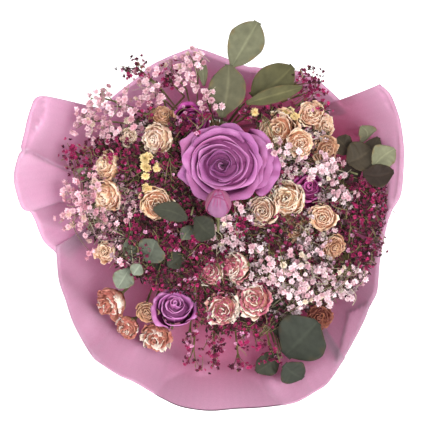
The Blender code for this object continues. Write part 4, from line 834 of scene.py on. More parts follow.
class Soup:
    """Thin sheets, tubes and stamped shapes gathered into one mesh, with a colour at each point."""

    def __init__(self):
        self.points = []
        self.colours = []
        self.faces = []
        self.count = 0

    def add(self, points, groups, colours):
        """Points, arrays of faces over them, and one colour or one for each point."""
        for faces in groups:
            self.faces.extend((faces + self.count).tolist())
        self.points.append(points)
        self.colours.append(np.broadcast_to(colours, points.shape))
        self.count += len(points)

    def sheet(self, grid, thickness, colours):
        """A closed thin shell on a grid of points."""
        normal = unit(np.cross(np.gradient(grid, axis=0), np.gradient(grid, axis=1)))
        both = np.stack((grid + normal * thickness / 2, grid - normal * thickness / 2))
        paint = np.broadcast_to(colours, both.shape)
        self.add(both.reshape(-1, 3), [shell_faces(*grid.shape[:2])], paint.reshape(-1, 3))

    def tube(self, line, radii, sides, colour):
        """A closed round bar along a line of points."""
        line = np.asarray(line, dtype=float)
        along = unit(np.gradient(line, axis=0))
        side = np.cross(along[0], SIDE_START)
        angles = np.arange(sides) * TAU / sides
        rings = []
        for point, axis, radius in zip(line, along, np.broadcast_to(radii, len(line))):
            side = unit(side - axis * side.dot(axis))
            across = np.cross(axis, side)
            rings.append(point + radius * (np.outer(np.cos(angles), side) + np.outer(np.sin(angles), across)))
        points = np.concatenate(rings + [line[:1], line[-1:]])
        i = np.arange(len(line) - 1)[:, None] * sides
        j = np.arange(sides)
        k = (j + 1) % sides
        walls = np.stack((i + j, i + k, i + sides + k, i + sides + j), axis=-1).reshape(-1, 4)
        last = (len(line) - 1) * sides
        start = np.stack((k, j, np.full(sides, len(points) - 2)), axis=-1)
        end = np.stack((last + j, last + k, np.full(sides, len(points) - 1)), axis=-1)
        self.add(points, (walls, start, end), colour)

    def stamp(self, shape, place, axis, spin, size, tint):
        """A shape made round +Z, set at a place along an axis."""
        points, groups, colours = shape
        self.add(points * size @ turned(axis, spin).T + place, groups, colours * tint)

    def build(self, name, material, node, smooth_faces=True):
        """One object of what is gathered, which stands for a CAD node."""
        mesh = bpy.data.meshes.new(name)
        mesh.from_pydata(to_world(np.concatenate(self.points)).tolist(), [], self.faces)
        paint = mesh.attributes.new(PAINT, "FLOAT_COLOR", "POINT")
        colours = np.concatenate(self.colours)
        paint.data.foreach_set("color", np.c_[colours, np.ones(len(colours))].ravel().astype(np.float32))
        return finish_piece(name, mesh, material, node, smooth_faces)


def finish_piece(name, mesh, material, node, smooth_faces=True):
    """Link a mesh as a piece that rides on the part and stands for a CAD node."""
    mesh.polygons.foreach_set("use_smooth", np.full(len(mesh.polygons), smooth_faces))
    mesh.update()
    piece = bpy.data.objects.new(name, mesh)
    bpy.context.scene.collection.objects.link(piece)
    mesh.materials.clear()
    mesh.materials.append(material)
    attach(piece, "root")
    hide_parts(node)
    return piece


def shell_faces(rows, columns):
    """Faces of a closed shell on two grids of points, one after the other."""
    index = np.arange(rows * columns).reshape(rows, columns)
    top = np.stack((index[:-1, :-1], index[1:, :-1], index[1:, 1:], index[:-1, 1:]), axis=-1).reshape(-1, 4)
    bottom = top[:, ::-1] + rows * columns
    rim = np.concatenate((index[0, :-1], index[:-1, -1], index[-1, :0:-1], index[:0:-1, 0]))
    after = np.roll(rim, -1)
    sides = np.stack((rim, after, after + rows * columns, rim + rows * columns), axis=-1)
    return np.concatenate((top, bottom, sides))


def turned(axis, spin):
    """The matrix that takes +Z to an axis, after a turn about it."""
    axis = unit(np.asarray(axis, dtype=float))
    aside = (0.0, 1.0, 0.0) if abs(axis[1]) < 0.9 else (1.0, 0.0, 0.0)
    side = unit(np.cross(aside, axis))
    across = np.cross(axis, side)
    c = math.cos(spin)
    s = math.sin(spin)
    return np.stack((side * c + across * s, across * c - side * s, axis), axis=-1)


class Bloom:
    """One bloom: where it is, which way it looks, and its size, as in the part's source."""

    def __init__(self, name, entry):
        across, up, self.radius, lean_across, lean_up, self.tone = entry
        self.name = name
        share = BIG_ROSE_HEIGHT if name == "big_rose" else SPRAY_ROSE_HEIGHT
        self.height = BUD_HEIGHT if name == "mauve_bud" else self.radius * share
        self.axis = unit(np.array((lean_across, lean_up, 1.0)))
        self.middle = np.array((across, up, dome(across, up) + BEHIND.get(name, 0.0)))
        self.neck = NECK

    def base(self):
        """Where the stem meets it."""
        return self.middle - self.axis * self.height * BASE_SHARE

    def balls(self):
        """Balls that hold the whole bloom: middles and radii."""
        return [(self.base() + self.axis * self.height * a, self.radius * r) for a, r in BLOOM_BALLS]

    def place(self, points):
        """Points made round +Z from the bloom's base, set where the bloom is."""
        across = unit(np.cross((0.0, 1.0, 0.0), self.axis))
        up = np.cross(self.axis, across)
        return points @ np.stack((across, up, self.axis)) + self.base()


def make_blooms():
    """All blooms, moved out or back along the view until they clear each other."""
    entries = {"big_rose": BIG_ROSE, **MAUVE_ROSES}
    for number, entry in enumerate(PEACH_ROSES, 1):
        entries["peach_rose_%02d" % number] = entry
    order = [Bloom(name, entry) for name, entry in entries.items()]
    for _ in range(PARTING_ROUNDS):
        for i, one in enumerate(order):
            for other in order[i + 1:]:
                part_blooms(one, other)
    return {bloom.name: bloom for bloom in order}


def part_blooms(one, other):
    """Move two blooms apart, out and back, by what their balls overlap."""
    reach = one.radius + other.radius + max(one.height, other.height)
    if abs(one.middle[0] - other.middle[0]) > reach or abs(one.middle[1] - other.middle[1]) > reach:
        return
    worst = 0.0
    for place, radius in one.balls():
        for other_place, other_radius in other.balls():
            flat = math.hypot(place[0] - other_place[0], place[1] - other_place[1])
            need = radius + other_radius + CLEARANCE
            if flat < need:
                worst = max(worst, math.sqrt(need * need - flat * flat) - abs(place[2] - other_place[2]))
    if worst <= 0.0:
        return
    way = 1.0 if one.middle[2] >= other.middle[2] else -1.0
    weight = other.radius / (one.radius + other.radius)
    one.middle[2] += way * min(worst, PARTING_STEP) * weight
    other.middle[2] -= way * min(worst, PARTING_STEP) * (1.0 - weight)


@dataclass
class Petal:
    """The numbers that shape one petal of a rose.

    Its angle and width are in radians, its middle is in millimetres, and the others up to its light are
    shares of the rose's radius and height.
    """

    angle: float
    width: float
    rim: float
    level: float
    curl: float
    spiral: float
    wave: float
    drop: float
    rows: int
    columns: int
    crinkle: float = 0.0
    point: float = 0.0
    belly: float = 0.5
    middle: tuple = (0.0, 0.0)
    # How light the petal is drawn, as painted light and shade
    light: float = 1.0


def crumple(across, run, draw):
    """Uneven folds over a petal, as heights between about -1 and 1."""
    total = 0.0
    for _ in range(CRUMPLE_WAVES):
        wide = draw.uniform(*CRUMPLE_ACROSS)
        deep = draw.uniform(*CRUMPLE_ALONG)
        total = total + np.sin(across * wide + run * deep + draw.uniform(0.0, TAU))
    return total * CRUMPLE_HEIGHT


def petal_grid(petal, bloom, squash, draw):
    """Points of a petal round +Z from the rose's base, how far along it they are, and its folds."""
    across = np.linspace(-1.0, 1.0, petal.columns)[None]
    along = np.linspace(0.06, 1.0, petal.rows)[:, None] ** 0.8
    run = along * (1.0 - petal.drop * np.abs(across) ** 2.4)
    a, b, c = (draw.uniform(0.0, TAU) for _ in range(3))

    # Out from the base in an arc, then its lip, its waves, its folds and its point
    reach = 0.16 + 0.84 * np.sin(math.pi / 2 * run ** petal.belly)
    lip = smooth(run, 0.72, 1.0)
    reach = petal.rim * reach * (1.0 + petal.spiral * across)
    reach += petal.curl * lip ** 1.6
    wave = np.sin(across * 2.4 + a) + 0.6 * np.sin(across * 4.7 + b)
    reach += petal.wave * wave * run ** 2
    fold = crumple(across, run, draw)
    reach += petal.crinkle * run ** 0.7 * fold
    reach += petal.point * bell(across - 0.1, 0.2) * run ** 5

    # Up to its level, with its lip turned down
    rise = petal.level * (1.0 - (1.0 - run) ** 1.35) - petal.curl * 0.55 * lip ** 3
    rise += petal.wave * 0.5 * np.sin(across * 3.1 + c) * run ** 2
    rise += petal.crinkle * 0.9 * run ** 1.5 * crumple(across, run, draw)
    angle = petal.angle + across * petal.width / 2 + petal.crinkle * 1.2 * crumple(across, run, draw)
    return ring_grid(bloom.radius * reach, angle, rise * bloom.height, squash, petal.middle), run, fold


def petal_paint(tone, run, fold, crinkle, draw, light=1.0):
    """Colours of a petal's cup, body and rim, with painted shade in folds and painted highlight on ridges."""
    body, rim, cup = (np.array(colour) for colour in TONES[tone])
    body = body * draw.uniform(0.88, 1.08)
    body = body * (1.0, draw.uniform(0.93, 1.04), draw.uniform(0.88, 1.06))
    start = RIM_START
    if crinkle > DRY_CRINKLE and tone in RIMMED:
        start = WIDE_RIM_START
        rim = rim if draw.random() < RIMMED_SHARE else TONES["cream"][1]
    elif crinkle > DRY_CRINKLE and draw.random() < BROWN_TIP_SHARE:
        rim = blend(rim, BROWN_TIP, 0.6)
    colour = blend(cup, body, smooth(run, *(DEEP_CUP if tone in SILKY else SMALL_CUP)))
    part = smooth(run + 0.10 * fold, start, 0.6 + 0.5 * start) * draw.uniform(0.9 - 0.5 * start, 1.0)
    colour = blend(colour, rim, part)
    # Painted shade in the folds, partly the brown of dried valleys, and painted highlight on the ridges
    depth = min(MOST_SHADE, crinkle * FOLD_SHADE) * smooth(run, 0.1, 0.5)
    colour = blend(colour, cup, depth * np.clip(-fold, 0.0, 1.0))
    colour = blend(colour, FOLD_SHINE * body, depth * np.clip(fold, 0.0, 1.0))
    # Painted light and shade over the whole petal
    return np.clip(colour * (light, light ** 1.5, light), 0.0, 1.0)


def add_petal(soup, bloom, petal, thickness, draw, squash=1.0):
    """One petal of a bloom, painted."""
    grid, run, fold = petal_grid(petal, bloom, squash, draw)
    paint = petal_paint(bloom.tone, run, fold, petal.crinkle, draw, petal.light)
    soup.sheet(bloom.place(grid), thickness, paint)


def add_core(soup, bloom, core, squash=1.0, middle=(0.0, 0.0)):
    """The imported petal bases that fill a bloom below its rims."""
    size, low, high = core
    part = np.linspace(1.0, 0.02, CORE_ROWS)[:, None]
    turn = np.linspace(0.0, TAU, CORE_COLUMNS)[None]
    reach = bloom.radius * size * part
    rise = bloom.height * (high - (high - low) * part ** 2) + 0.3 * np.sin(turn * 7.0 + part * 9.0)
    grid = ring_grid(reach, turn, rise, squash, (middle[0] * (1.0 - part), middle[1] * (1.0 - part)))
    body, _, cup = TONES[bloom.tone]
    # Painted shade: the core is drawn darker toward its middle
    shade = smooth(reach, *CORE_SHADE)[..., None]
    soup.sheet(bloom.place(grid), CORE_THICKNESS, blend(cup, body, CORE_SHARE) * shade)


def add_heart(soup, bloom, heart, draw, middle=(0.0, 0.0)):
    """The rolled innermost petals of a rose."""
    share, level = heart
    for k in range(HEART_PETALS):
        petal = Petal(
            angle=draw.uniform(0.0, TAU), width=3.6, rim=share * (1.0 - 0.3 * k), level=level - 0.03 * k,
            curl=0.0, spiral=0.18, wave=0.004, drop=0.06, middle=middle, rows=6, columns=12,
        )
        add_petal(soup, bloom, petal, HEART_THICKNESS, draw)


def add_sepals(soup, bloom, draw, kind):
    """Narrow sepals that hold a bloom from below, and the round hip under them."""
    size = bloom.radius
    length = SEPAL_LENGTHS[kind]
    tilt = draw.uniform(0.0, TAU)
    along, across = spans(7, 4)
    half = size * 0.2 * np.sin(math.pi * np.clip(along * 0.86 + 0.14, 0.0, 1.0)) ** 0.7
    reach = size * (HIP_SHARE + length * 0.80 * np.sin(along * 1.35))
    rise = bloom.height * (0.02 + 0.5 * length * along ** 1.6)
    for k in range(SEPALS):
        bent = tilt + TAU * k / SEPALS + across * half / np.maximum(reach, size * HIP_SHARE)
        colour = np.array(SEPAL_COLOUR) * draw.uniform(0.8, 1.2)
        soup.sheet(bloom.place(ring_grid(reach, bent, rise)), SEPAL_THICKNESS, colour)
    hip = [bloom.place(np.array((0.0, 0.0, bloom.height * z))) for z in (-bloom.neck, *HIP_LEVELS)]
    soup.tube(hip, np.array(HIP_RADII) * size, HIP_SIDES, HIP_COLOUR)


def make_spray_rose(bloom, material):
    """A dried spray rose: whorls of crumpled petals, ragged outside and tight at its heart."""
    draw = random.Random(sum(map(ord, bloom.name)) * SPRAY_SEED)
    soup = Soup()
    forward = FORWARD.get(bloom.name, 0.0)
    bloom.middle = bloom.middle + bloom.axis * forward
    bloom.neck += forward / bloom.height
    growth = ROSE_GROWTH * SINGLE_GROWTH.get(bloom.name, 1.0)
    finer = RIMMED_CRINKLE if bloom.tone in RIMMED else 1.0
    twist = draw.uniform(0.0, TAU)
    for whorl, count in enumerate(SPRAY_WHORLS):
        share = whorl / (len(SPRAY_WHORLS) - 1)
        rim = growth * (0.98 - 0.82 * share ** 0.95)
        for k in range(count):
            petal = Petal(
                angle=twist + TAU * (k + draw.uniform(-0.2, 0.2)) / count,
                width=TAU / count * draw.uniform(1.1, 1.6),
                rim=rim * draw.uniform(0.86, 1.05),
                level=0.68 + 0.30 * share ** 0.8 + draw.uniform(-0.07, 0.05),
                curl=0.12 * (1.0 - 0.7 * share) * draw.uniform(-0.5, 1.6),
                spiral=0.09,
                wave=0.065 * draw.uniform(0.5, 1.6),
                crinkle=finer * draw.uniform(0.050, 0.085) * (1.0 - 0.5 * share),
                drop=draw.uniform(0.15, 0.45),
                rows=6,
                columns=13 if whorl < 4 else 10,
            )
            add_petal(soup, bloom, petal, SPRAY_PETAL, draw)
        twist += TAU / count * 0.5 + 0.35
    add_core(soup, bloom, SPRAY_CORE)
    add_heart(soup, bloom, SPRAY_HEART, draw)
    add_sepals(soup, bloom, draw, "leaning" if abs(bloom.axis[0]) > LEANING else "spray")
    soup.build(bloom.name + "_petals", material, bloom.name)


def outer_petal(angle, width, rim, level, curl, point, drop):
    """An open petal of the preserved rose, with painted shade that makes it a little darker on the right."""
    return Petal(
        angle=math.radians(angle), width=math.radians(width), rim=rim * BIG_GROWTH, level=level, curl=curl,
        spiral=0.05, wave=0.024, crinkle=0.007, point=point, drop=drop, belly=0.62, rows=18, columns=23,
        middle=BIG_MIDDLE, light=0.82 - 0.07 * math.cos(math.radians(angle)),
    )


def inner_petal(angle, width, rim, level, curl, spiral, across, up):
    """A petal of a whorl inside the preserved rose, with painted shade that darkens it toward its heart."""
    return Petal(
        angle=math.radians(angle), width=math.radians(width), rim=rim * BIG_GROWTH, level=level, curl=curl,
        spiral=spiral, wave=0.030, crinkle=0.006, point=0.05, drop=0.16, rows=16, columns=25,
        middle=(across, up), light=HEART_SHADE + (1.0 - HEART_SHADE) * float(smooth(rim, *HEART_REACH)),
    )


def make_big_rose(bloom, material):
    """The preserved rose: open outer petals, then whorls that wind tightly into its heart."""
    draw = random.Random(BIG_SEED)
    soup = Soup()
    for row in BIG_OUTER:
        add_petal(soup, bloom, outer_petal(*row), OUTER_PETAL, draw, OUTER_SQUASH)
    for row in BIG_INNER:
        add_petal(soup, bloom, inner_petal(*row), INNER_PETAL, draw, INNER_SQUASH)
    add_core(soup, bloom, BIG_CORE, CORE_SQUASH, BIG_CORE_MIDDLE)
    add_heart(soup, bloom, BIG_HEART, draw, BIG_HEART_MIDDLE)
    add_sepals(soup, bloom, draw, "big")
    for row in BIG_SIDE:
        add_petal(soup, bloom, outer_petal(*row), OUTER_PETAL, draw, OUTER_SQUASH)
    soup.build("big_rose_petals", material, bloom.name)


def make_bud(bloom, material):
    """The closed bud: petals wrapped round its core, with dark edges and streaks, in a small calyx."""
    draw = random.Random(BUD_SEED)
    soup = Soup()
    along, across = spans(24, 29)
    for angle, half, wider, size, length, tone in BUD_PETALS:
        notch = 0.0 if half > 180.0 else BUD_NOTCH
        part = along * length * (1.0 - notch * np.abs(across) ** 3)
        profile = np.sin(math.pi * np.clip(part ** 0.9 * 0.955 + 0.04, 0.0, 1.0)) ** 0.62
        turn = math.radians(angle) + across * math.radians(half) * (1.0 + wider * (along - 0.5))
        fold = np.sin(turn * 9.0 + along * 3.0)
        reach = bloom.radius * size * profile * (1.0 + 0.03 * across) * (1.0 + BUD_CRINKLE * fold)
        grid = ring_grid(reach, turn, bloom.height * (0.02 + 0.98 * part))
        run = np.broadcast_to(0.62 + 0.30 * along, turn.shape)
        paint = petal_paint(tone, run, fold, BUD_CRINKLE, draw)
        edge = np.maximum(smooth(np.abs(across), 0.86, 1.0), smooth(along, 0.93, 1.0))
        for streak in BUD_STREAKS:
            near = bell(turn - math.radians(streak) - 0.25 * (along - 0.7), STREAK_WIDTH)
            edge = np.maximum(edge, near * smooth(along, 0.62, 0.8))
        soup.sheet(bloom.place(grid), BUD_THICKNESS, blend(paint, BUD_EDGE, 0.85 * edge))
    add_sepals(soup, bloom, draw, "bud")
    soup.build("mauve_bud_petals", material, bloom.name)


def make_mauve_rose(bloom, material):
    """A small open mauve rose with broad loose petals."""
    draw = random.Random(sum(map(ord, bloom.name)))
    soup = Soup()
    twist = draw.uniform(0.0, TAU)
    for rim, count, level, curl in MAUVE_WHORLS:
        for k in range(count):
            petal = Petal(
                angle=twist + TAU * (k + draw.uniform(-0.15, 0.15)) / count,
                width=TAU / count * 1.4,
                rim=MAUVE_GROWTH[bloom.name] * rim * draw.uniform(0.90, 1.04),
                level=level + draw.uniform(-0.05, 0.04),
                curl=curl * draw.uniform(0.3, 1.5),
                spiral=0.12,
                wave=0.065,
                crinkle=0.020,
                drop=0.26,
                rows=11,
                columns=15,
            )
            add_petal(soup, bloom, petal, MAUVE_PETAL, draw)
        twist += TAU / count * 0.5 + 0.3
    add_core(soup, bloom, MAUVE_CORE)
    add_heart(soup, bloom, MAUVE_HEART, draw)
    add_sepals(soup, bloom, draw, "mauve")
    soup.build(bloom.name + "_petals", material, bloom.name)


def leaf_point(leaf, along, across, shift, turn=0.0, sweep=0.0):
    """Points of a leaf's middle surface, as in the part's source, or turned and swept aside."""
    start, end, width, start_out, end_out, balance, cup, _, _ = leaf
    base = on_dome(*start, start_out) + (0.0, 0.0, shift)
    tip = on_dome(*end, end_out) + (0.0, 0.0, shift)
    side = unit(np.cross(tip - base, (0.0, 0.0, 1.0)))
    along = np.asarray(along, dtype=float)
    hump = np.sin(math.pi * along)
    half = width / 2 * np.sin(math.pi * np.clip(along, 0.05, 0.97) ** balance) ** LEAF_FULLNESS
    bow = LEAF_BOW * np.linalg.norm(tip - base) * hump
    lift = cup * across * across * hump
    wave = LEAF_WAVE * width * across * np.sin(2.6 * math.pi * along)
    out = unit(np.cross(side, tip - base))
    aside = side * math.cos(turn) + out * math.sin(turn)
    spot = base + (tip - base) * along[..., None] + aside * (across * half)[..., None]
    spot = spot + side * (sweep * np.linalg.norm(tip - base) * hump)[..., None]
    spot[..., 2] += bow + lift + wave
    return spot


def leaf_shift(leaf, corners):
    """How far the part's source moved a leaf out or back, told from its tip among the CAD's corners."""
    return min(LEAF_SHIFTS, key=lambda shift: np.linalg.norm(
        corners - leaf_point(leaf, 1.0, 0.0, shift), axis=1).min())


def node_corners(name):
    """The corners of a CAD node in the face frame."""
    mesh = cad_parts[name].data
    flat = np.empty(len(mesh.vertices) * 3)
    mesh.vertices.foreach_get("co", flat)
    return to_face(flat.reshape(-1, 3))


def blade_corners(leaf, shift):
    """Where the part's source has the corners of a leaf's blade."""
    return np.array([
        leaf_point(leaf, along, across, shift) for along in LEAF_STATIONS for across in (-1.0, 0.0, 1.0)])


def add_leaf(soup, leaf, shift, turn, sweep, draw):
    """One leaf: a blade with a midrib, veins, a waved edge, a fold and a dry brown rim."""
    *shape, tone, growth = leaf
    width = shape[2] * growth
    shape[2] = width
    rows, columns = LARGE_LEAF_GRID if width > LARGE_LEAF else SMALL_LEAF_GRID
    along, across = spans(rows, columns)
    along = along ** 0.9 + 0 * across
    across = across + 0 * along
    grid = leaf_point((*shape, tone, growth), along, across, shift, math.radians(turn), sweep)
    lift = unit(np.cross(np.gradient(grid, axis=1), np.gradient(grid, axis=0)))
    lift = lift * np.sign(lift[rows // 2, columns // 2, 2])
    hump = np.sin(math.pi * along)
    rib = -RIB_DEPTH * width * bell(across, 0.07)
    slant = along * 7.0 - np.abs(across) * 1.6
    veins = VEIN_DEPTH * width * np.sin(slant * TAU * 0.8) * (1.0 - bell(across, 0.15))
    edge = LEAF_EDGE_WAVE * width * np.abs(across) ** 3 * np.sin(along * 13.0 + draw.uniform(0.0, 6.0))
    fold = LEAF_FOLD * width * bell(along - draw.uniform(0.4, 0.7), 0.05) * across
    grid = grid + lift * ((rib + veins * hump + edge + fold) * np.minimum(1.0, hump * 2.0))[..., None]
    tone = np.array(LEAF_TONES[tone]) * draw.uniform(0.9, 1.1)
    pale = 1.0 + 0.45 * bell(across, 0.05) + 0.04 * np.sin(slant * TAU * 0.8)
    brown = smooth(np.abs(across) + 0.12 * np.sin(along * 23.0), 0.82, 1.05)
    dry = np.array(DRY_EDGE) * min(1.0, tone.max() / DRY_EDGE[1])
    soup.sheet(grid, LEAF_THICKNESS, blend(tone * pale[..., None], dry, brown * DRY_SHARE))


def make_leaves(name, material, bark):
    """The leaves of one leafy stem, and its stalks."""
    draw = random.Random(len(name) * LEAF_SEED)
    corners = node_corners(name)
    soup = Soup()
    blades = []
    for number, leaf in enumerate((*LEAVES[name], *MORE_LEAVES.get(name, ()))):
        shift = 0.0
        if number < len(LEAVES[name]):
            shift = leaf_shift(leaf, corners)
            blades.append(blade_corners(leaf, shift))
        add_leaf(soup, leaf, shift, *LEAF_TURNS.get((name, number), (0.0, 0.0)), draw)
    soup.build(name + "_leaves", material, name)
    make_stems(name, bark, drop=np.concatenate(blades))


def welded(mesh):
    """A bmesh of a CAD mesh, with the corners that its faces share joined."""
    bm = bmesh.new()
    bm.from_mesh(mesh)
    bmesh.ops.remove_doubles(bm, verts=bm.verts, dist=WELD)
    bm.verts.ensure_lookup_table()
    return bm


def make_stems(name, material, drop=None, shrink=()):
    """The stem and stalks of a CAD node as a smooth piece.

    The corners near those to drop are left out, and the heads to shrink are drawn in to their axes.
    """
    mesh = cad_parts[name].data.copy()
    bm = welded(mesh)
    places = to_face(np.array([v.co[:] for v in bm.verts]))
    if drop is not None:
        gaps = np.linalg.norm(places[:, None] - drop[None], axis=2).min(axis=1)
        gone = [v for v, gap in zip(bm.verts, gaps) if gap < DROP_REACH]
        bmesh.ops.delete(bm, geom=gone, context="VERTS")
        holes = [e for e in bm.edges if e.is_boundary]
        bmesh.ops.holes_fill(bm, edges=holes, sides=HOLE_SIDES)
    for place, axis, radius in shrink:
        for i in np.nonzero(np.linalg.norm(places - place, axis=1) < radius * HEAD_REACH)[0]:
            line = place + axis * (places[i] - place).dot(axis)
            places[i] = line + (places[i] - line) * HEAD_SHRINK
            bm.verts[i].co = to_world(places[i])
    bmesh.ops.recalc_face_normals(bm, faces=bm.faces)
    bm.to_mesh(mesh)
    bm.free()
    mesh.name = name + "_stalks"
    finish_piece(name + "_stalks", mesh, material, name)


def find_florets(name, kind):
    """Middles, axes and radii of the florets that a spray has in the part's source."""
    radius, length, _ = SOURCE_FLORETS[kind]
    bm = welded(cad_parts[name].data)
    found = []
    side = radius * math.sqrt(3.0)
    for v in bm.verts:
        if len(v.link_edges) != 3:
            continue
        ring = [to_face(np.array(e.other_vert(v).co[:])) for e in v.link_edges]
        sides = [np.linalg.norm(ring[i] - ring[i - 1]) for i in range(3)]
        if max(abs(s - side) for s in sides) < SIDE_SLACK * side:
            tip = to_face(np.array(v.co[:]))
            axis = unit(tip - np.mean(ring, axis=0))
            found.append((tip - axis * length * FLORET_MIDDLE, axis, radius))
    bm.free()
    return found


def floret_shape(draw, layers, colours):
    """A small bloom round +Z of radius 1: rings of keeled petals, each as count, reach, rise and width."""
    points = []
    faces = []
    tones = []
    lift = np.array((0.0, 0.0, 1.0))
    for count, reach, rise, width in layers:
        turn = draw.uniform(0.0, TAU)
        for k in range(count):
            angle = turn + TAU * (k + draw.uniform(-0.3, 0.3)) / count
            way = np.array((math.cos(angle), math.sin(angle), 0.0))
            side = np.array((-way[1], way[0], 0.0)) * width
            size = draw.uniform(0.82, 1.15)
            top = rise * size + draw.uniform(-0.2, 0.2)
            belly = way * reach * size * 0.62 + lift * top * 0.7
            faces += [[len(points) + i for i in face] for face in KEELED]
            points += (
                way * 0.05, belly - side, way * reach * size + lift * top, belly + side,
                way * reach * size * 0.5 + lift * (top * 0.5 - KEEL),
            )
            light = draw.uniform(0.8, 1.12)
            inner = blend(*colours, min(1.0, rise)) * light
            outer = np.array(colours[1]) * light
            tones += (inner, outer, outer, inner, inner)
    return np.array(points), [np.array(faces)], np.array(tones)


def make_shapes():
    """The few shapes of each kind of head, which every spray repeats."""
    draw = random.Random(SHAPE_SEED)
    shapes = {}
    for kind, (count, colours, *layers) in HEAD_SHAPES.items():
        shapes[kind] = [floret_shape(draw, layers, colours) for _ in range(count)]
    return shapes


def surface_out(blooms, x, y):
    """How far out the blooms reach at a place in the face's plane."""
    best = -FAR
    for bloom in blooms.values():
        for middle, radius in bloom.balls():
            flat = math.hypot(x - middle[0], y - middle[1])
            if flat < radius * BALL_EDGE:
                best = max(best, middle[2] + math.sqrt(radius * radius - flat * flat))
    return best


def wrap_room(point):
    """Room between a point and the paper that surrounds it."""
    share = 1.0
    for _ in range(ROOM_ROUNDS):
        angle = math.atan2(point[1] - TIE[1] * (1.0 - share), point[0])
        share = (point[2] - TIE[2]) / (float(wrap_out(angle)) - TIE[2])
    return float(wrap_spread(share)) - math.hypot(point[0], point[1] - TIE[1] * (1.0 - share))


def nearest_twig(place, corners):
    """The CAD corner that a stalk to a place can best grow from."""
    back = unit(APEX - place)
    gap = corners - place
    behind = gap @ back
    aside = np.linalg.norm(gap - behind[:, None] * back, axis=1)
    near = np.where(behind < STALK_LENGTH * SHORT_SHARE, SHORT_COST, 0.0)
    return corners[(aside * ASIDE_COST + np.abs(behind - STALK_LENGTH) + near).argmin()]


def add_stalk(soup, start, end, colour, draw, steps):
    """A thin curved stalk between two points, which leaves its twig along the twig's own way."""
    long = np.linalg.norm(end - start)
    bend = np.array([draw.uniform(-0.12, 0.12) for _ in range(3)]) * long
    t = np.linspace(0.0, 1.0, steps)[:, None]
    control = start + unit(start - APEX) * long * 0.5 + bend
    line = start * (1 - t) ** 2 + control * 2 * t * (1 - t) + end * t * t
    radii = np.linspace(STALK_RADIUS, STALK_RADIUS * 0.65, steps)
    soup.tube(line, radii, 4 if steps == FRONT_STEPS else 3, colour)
    return unit(end - control)


def add_twiglet(soup, start, look, draw):
    """A bare curly twig end beside a stalk."""
    way = unit(np.array((draw.gauss(0.0, 1.0), draw.gauss(0.3, 1.0), draw.uniform(0.0, 0.8))))
    side = unit(np.cross(way, (draw.uniform(-1.0, 1.0), 0.4, 1.0)))
    t = np.linspace(0.0, 1.0, TWIGLET_STEPS)[:, None]
    length = draw.uniform(*TWIGLET_LENGTHS)
    line = start + way * length * (t - 0.35) + side * length * 0.25 * np.sin(t * draw.uniform(2.0, 5.0))
    radii = np.linspace(*TWIGLET_RADII, TWIGLET_STEPS)
    soup.tube(line, radii, 3, blend(*look["stalks"], draw.uniform(0.3, 1.0)))


def add_clump(soup, look, shapes, spot, axis, shade, draw):
    """The few heads that one stalk carries, each multiplied by a shade: the spray's tint, with painted shade
    for heads deep among the flowers.
    """
    for _ in range(draw.randint(*look["heads"])):
        aside = np.array([draw.gauss(0.0, 1.0) for _ in range(3)]) * look["spread"]
        tint = blend(look["low"], look["high"], draw.random() ** look["bias"]) * shade
        if draw.random() < look["odd"]:
            tint = np.array(look["odd_colour"]) * shade
        facing = unit(axis + np.array((0.0, 0.0, 0.6)) + aside * 0.3)
        size = look["size"] * draw.uniform(0.75, 1.2)
        soup.stamp(draw.choice(shapes), spot + aside, facing, draw.uniform(0.0, TAU), size, tint)


def make_spray(name, pixels, filling, blooms, shapes, material, bark):
    """A spray's own twigs, and its fine florets on stalks that grow from them."""
    draw = random.Random(sum(map(ord, name)))
    kind = name.split("_")[0]
    look = KINDS[kind]
    size = look["size"]
    corners = node_corners(name)
    florets = find_florets(name, kind)
    spray_tint = np.array(SPRAY_TINTS.get(name, (1.0, 1.0, 1.0)))
    soup = Soup()
    for place, axis, _ in florets:
        add_clump(soup, look, shapes[kind], place, axis, spray_tint, draw)
    spots = [(x, y, draw.uniform(-3.0, 3.0), True) for x, y in pixels]
    spots += [(*spot, False) for spot in filling]
    for x, y, depth, front in spots:
        spot = on_dome(x, y, SOURCE_FLORETS[kind][2])
        spot[2] += depth
        surface = surface_out(blooms, spot[0], spot[1])
        if front:
            spot[2] = max(spot[2], surface + FRONT_GAP)
        elif surface > spot[2] - BACK_GAP:
            continue
        while wrap_room(spot) < size * PAPER_ROOM and spot[2] < MOST_OUT:
            spot[2] += OUT_STEP
        if spot @ UP + FACE_HEIGHT < size * FLOOR_ROOM:
            continue
        twig = nearest_twig(spot, corners)
        colour = blend(*look["stalks"], draw.random() ** 2)
        axis = add_stalk(soup, twig, spot, colour, draw, FRONT_STEPS if front else BACK_STEPS)
        if not front:
            # Bracts drawn near black, as painted shade deep among the flowers
            dark = blend(*SHADED_BRACTS, draw.random())
            shape = draw.choice(shapes["bract"])
            soup.stamp(shape, spot, axis, draw.uniform(0.0, TAU), draw.uniform(*BRACT_SIZES), dark)
        if depth > BARE_DEPTH:
            # Front heads vary at random; heads deep among the flowers are drawn darker as painted shade
            shade = draw.uniform(0.9, 1.2) if front else draw.uniform(0.4, 1.0)
            heads = shapes[kind if front else kind + "_small"]
            add_clump(soup, look, heads, spot, axis, spray_tint * shade, draw)
        if depth > BARE_DEPTH and draw.random() < TWIGLET_SHARE:
            add_twiglet(soup, spot, look, draw)
    soup.build(name + "_florets", material, name, smooth_faces=False)
    make_stems(name, bark, shrink=florets)


def inside(place, edge):
    """Whether a point of the picture lies inside a closed line."""
    x, y = place
    count = 0
    for (x0, y0), (x1, y1) in zip(edge, edge[1:] + edge[:1]):
        if (y0 > y) != (y1 > y) and x < x0 + (y - y0) / (y1 - y0) * (x1 - x0):
            count += 1
    return count % 2 == 1


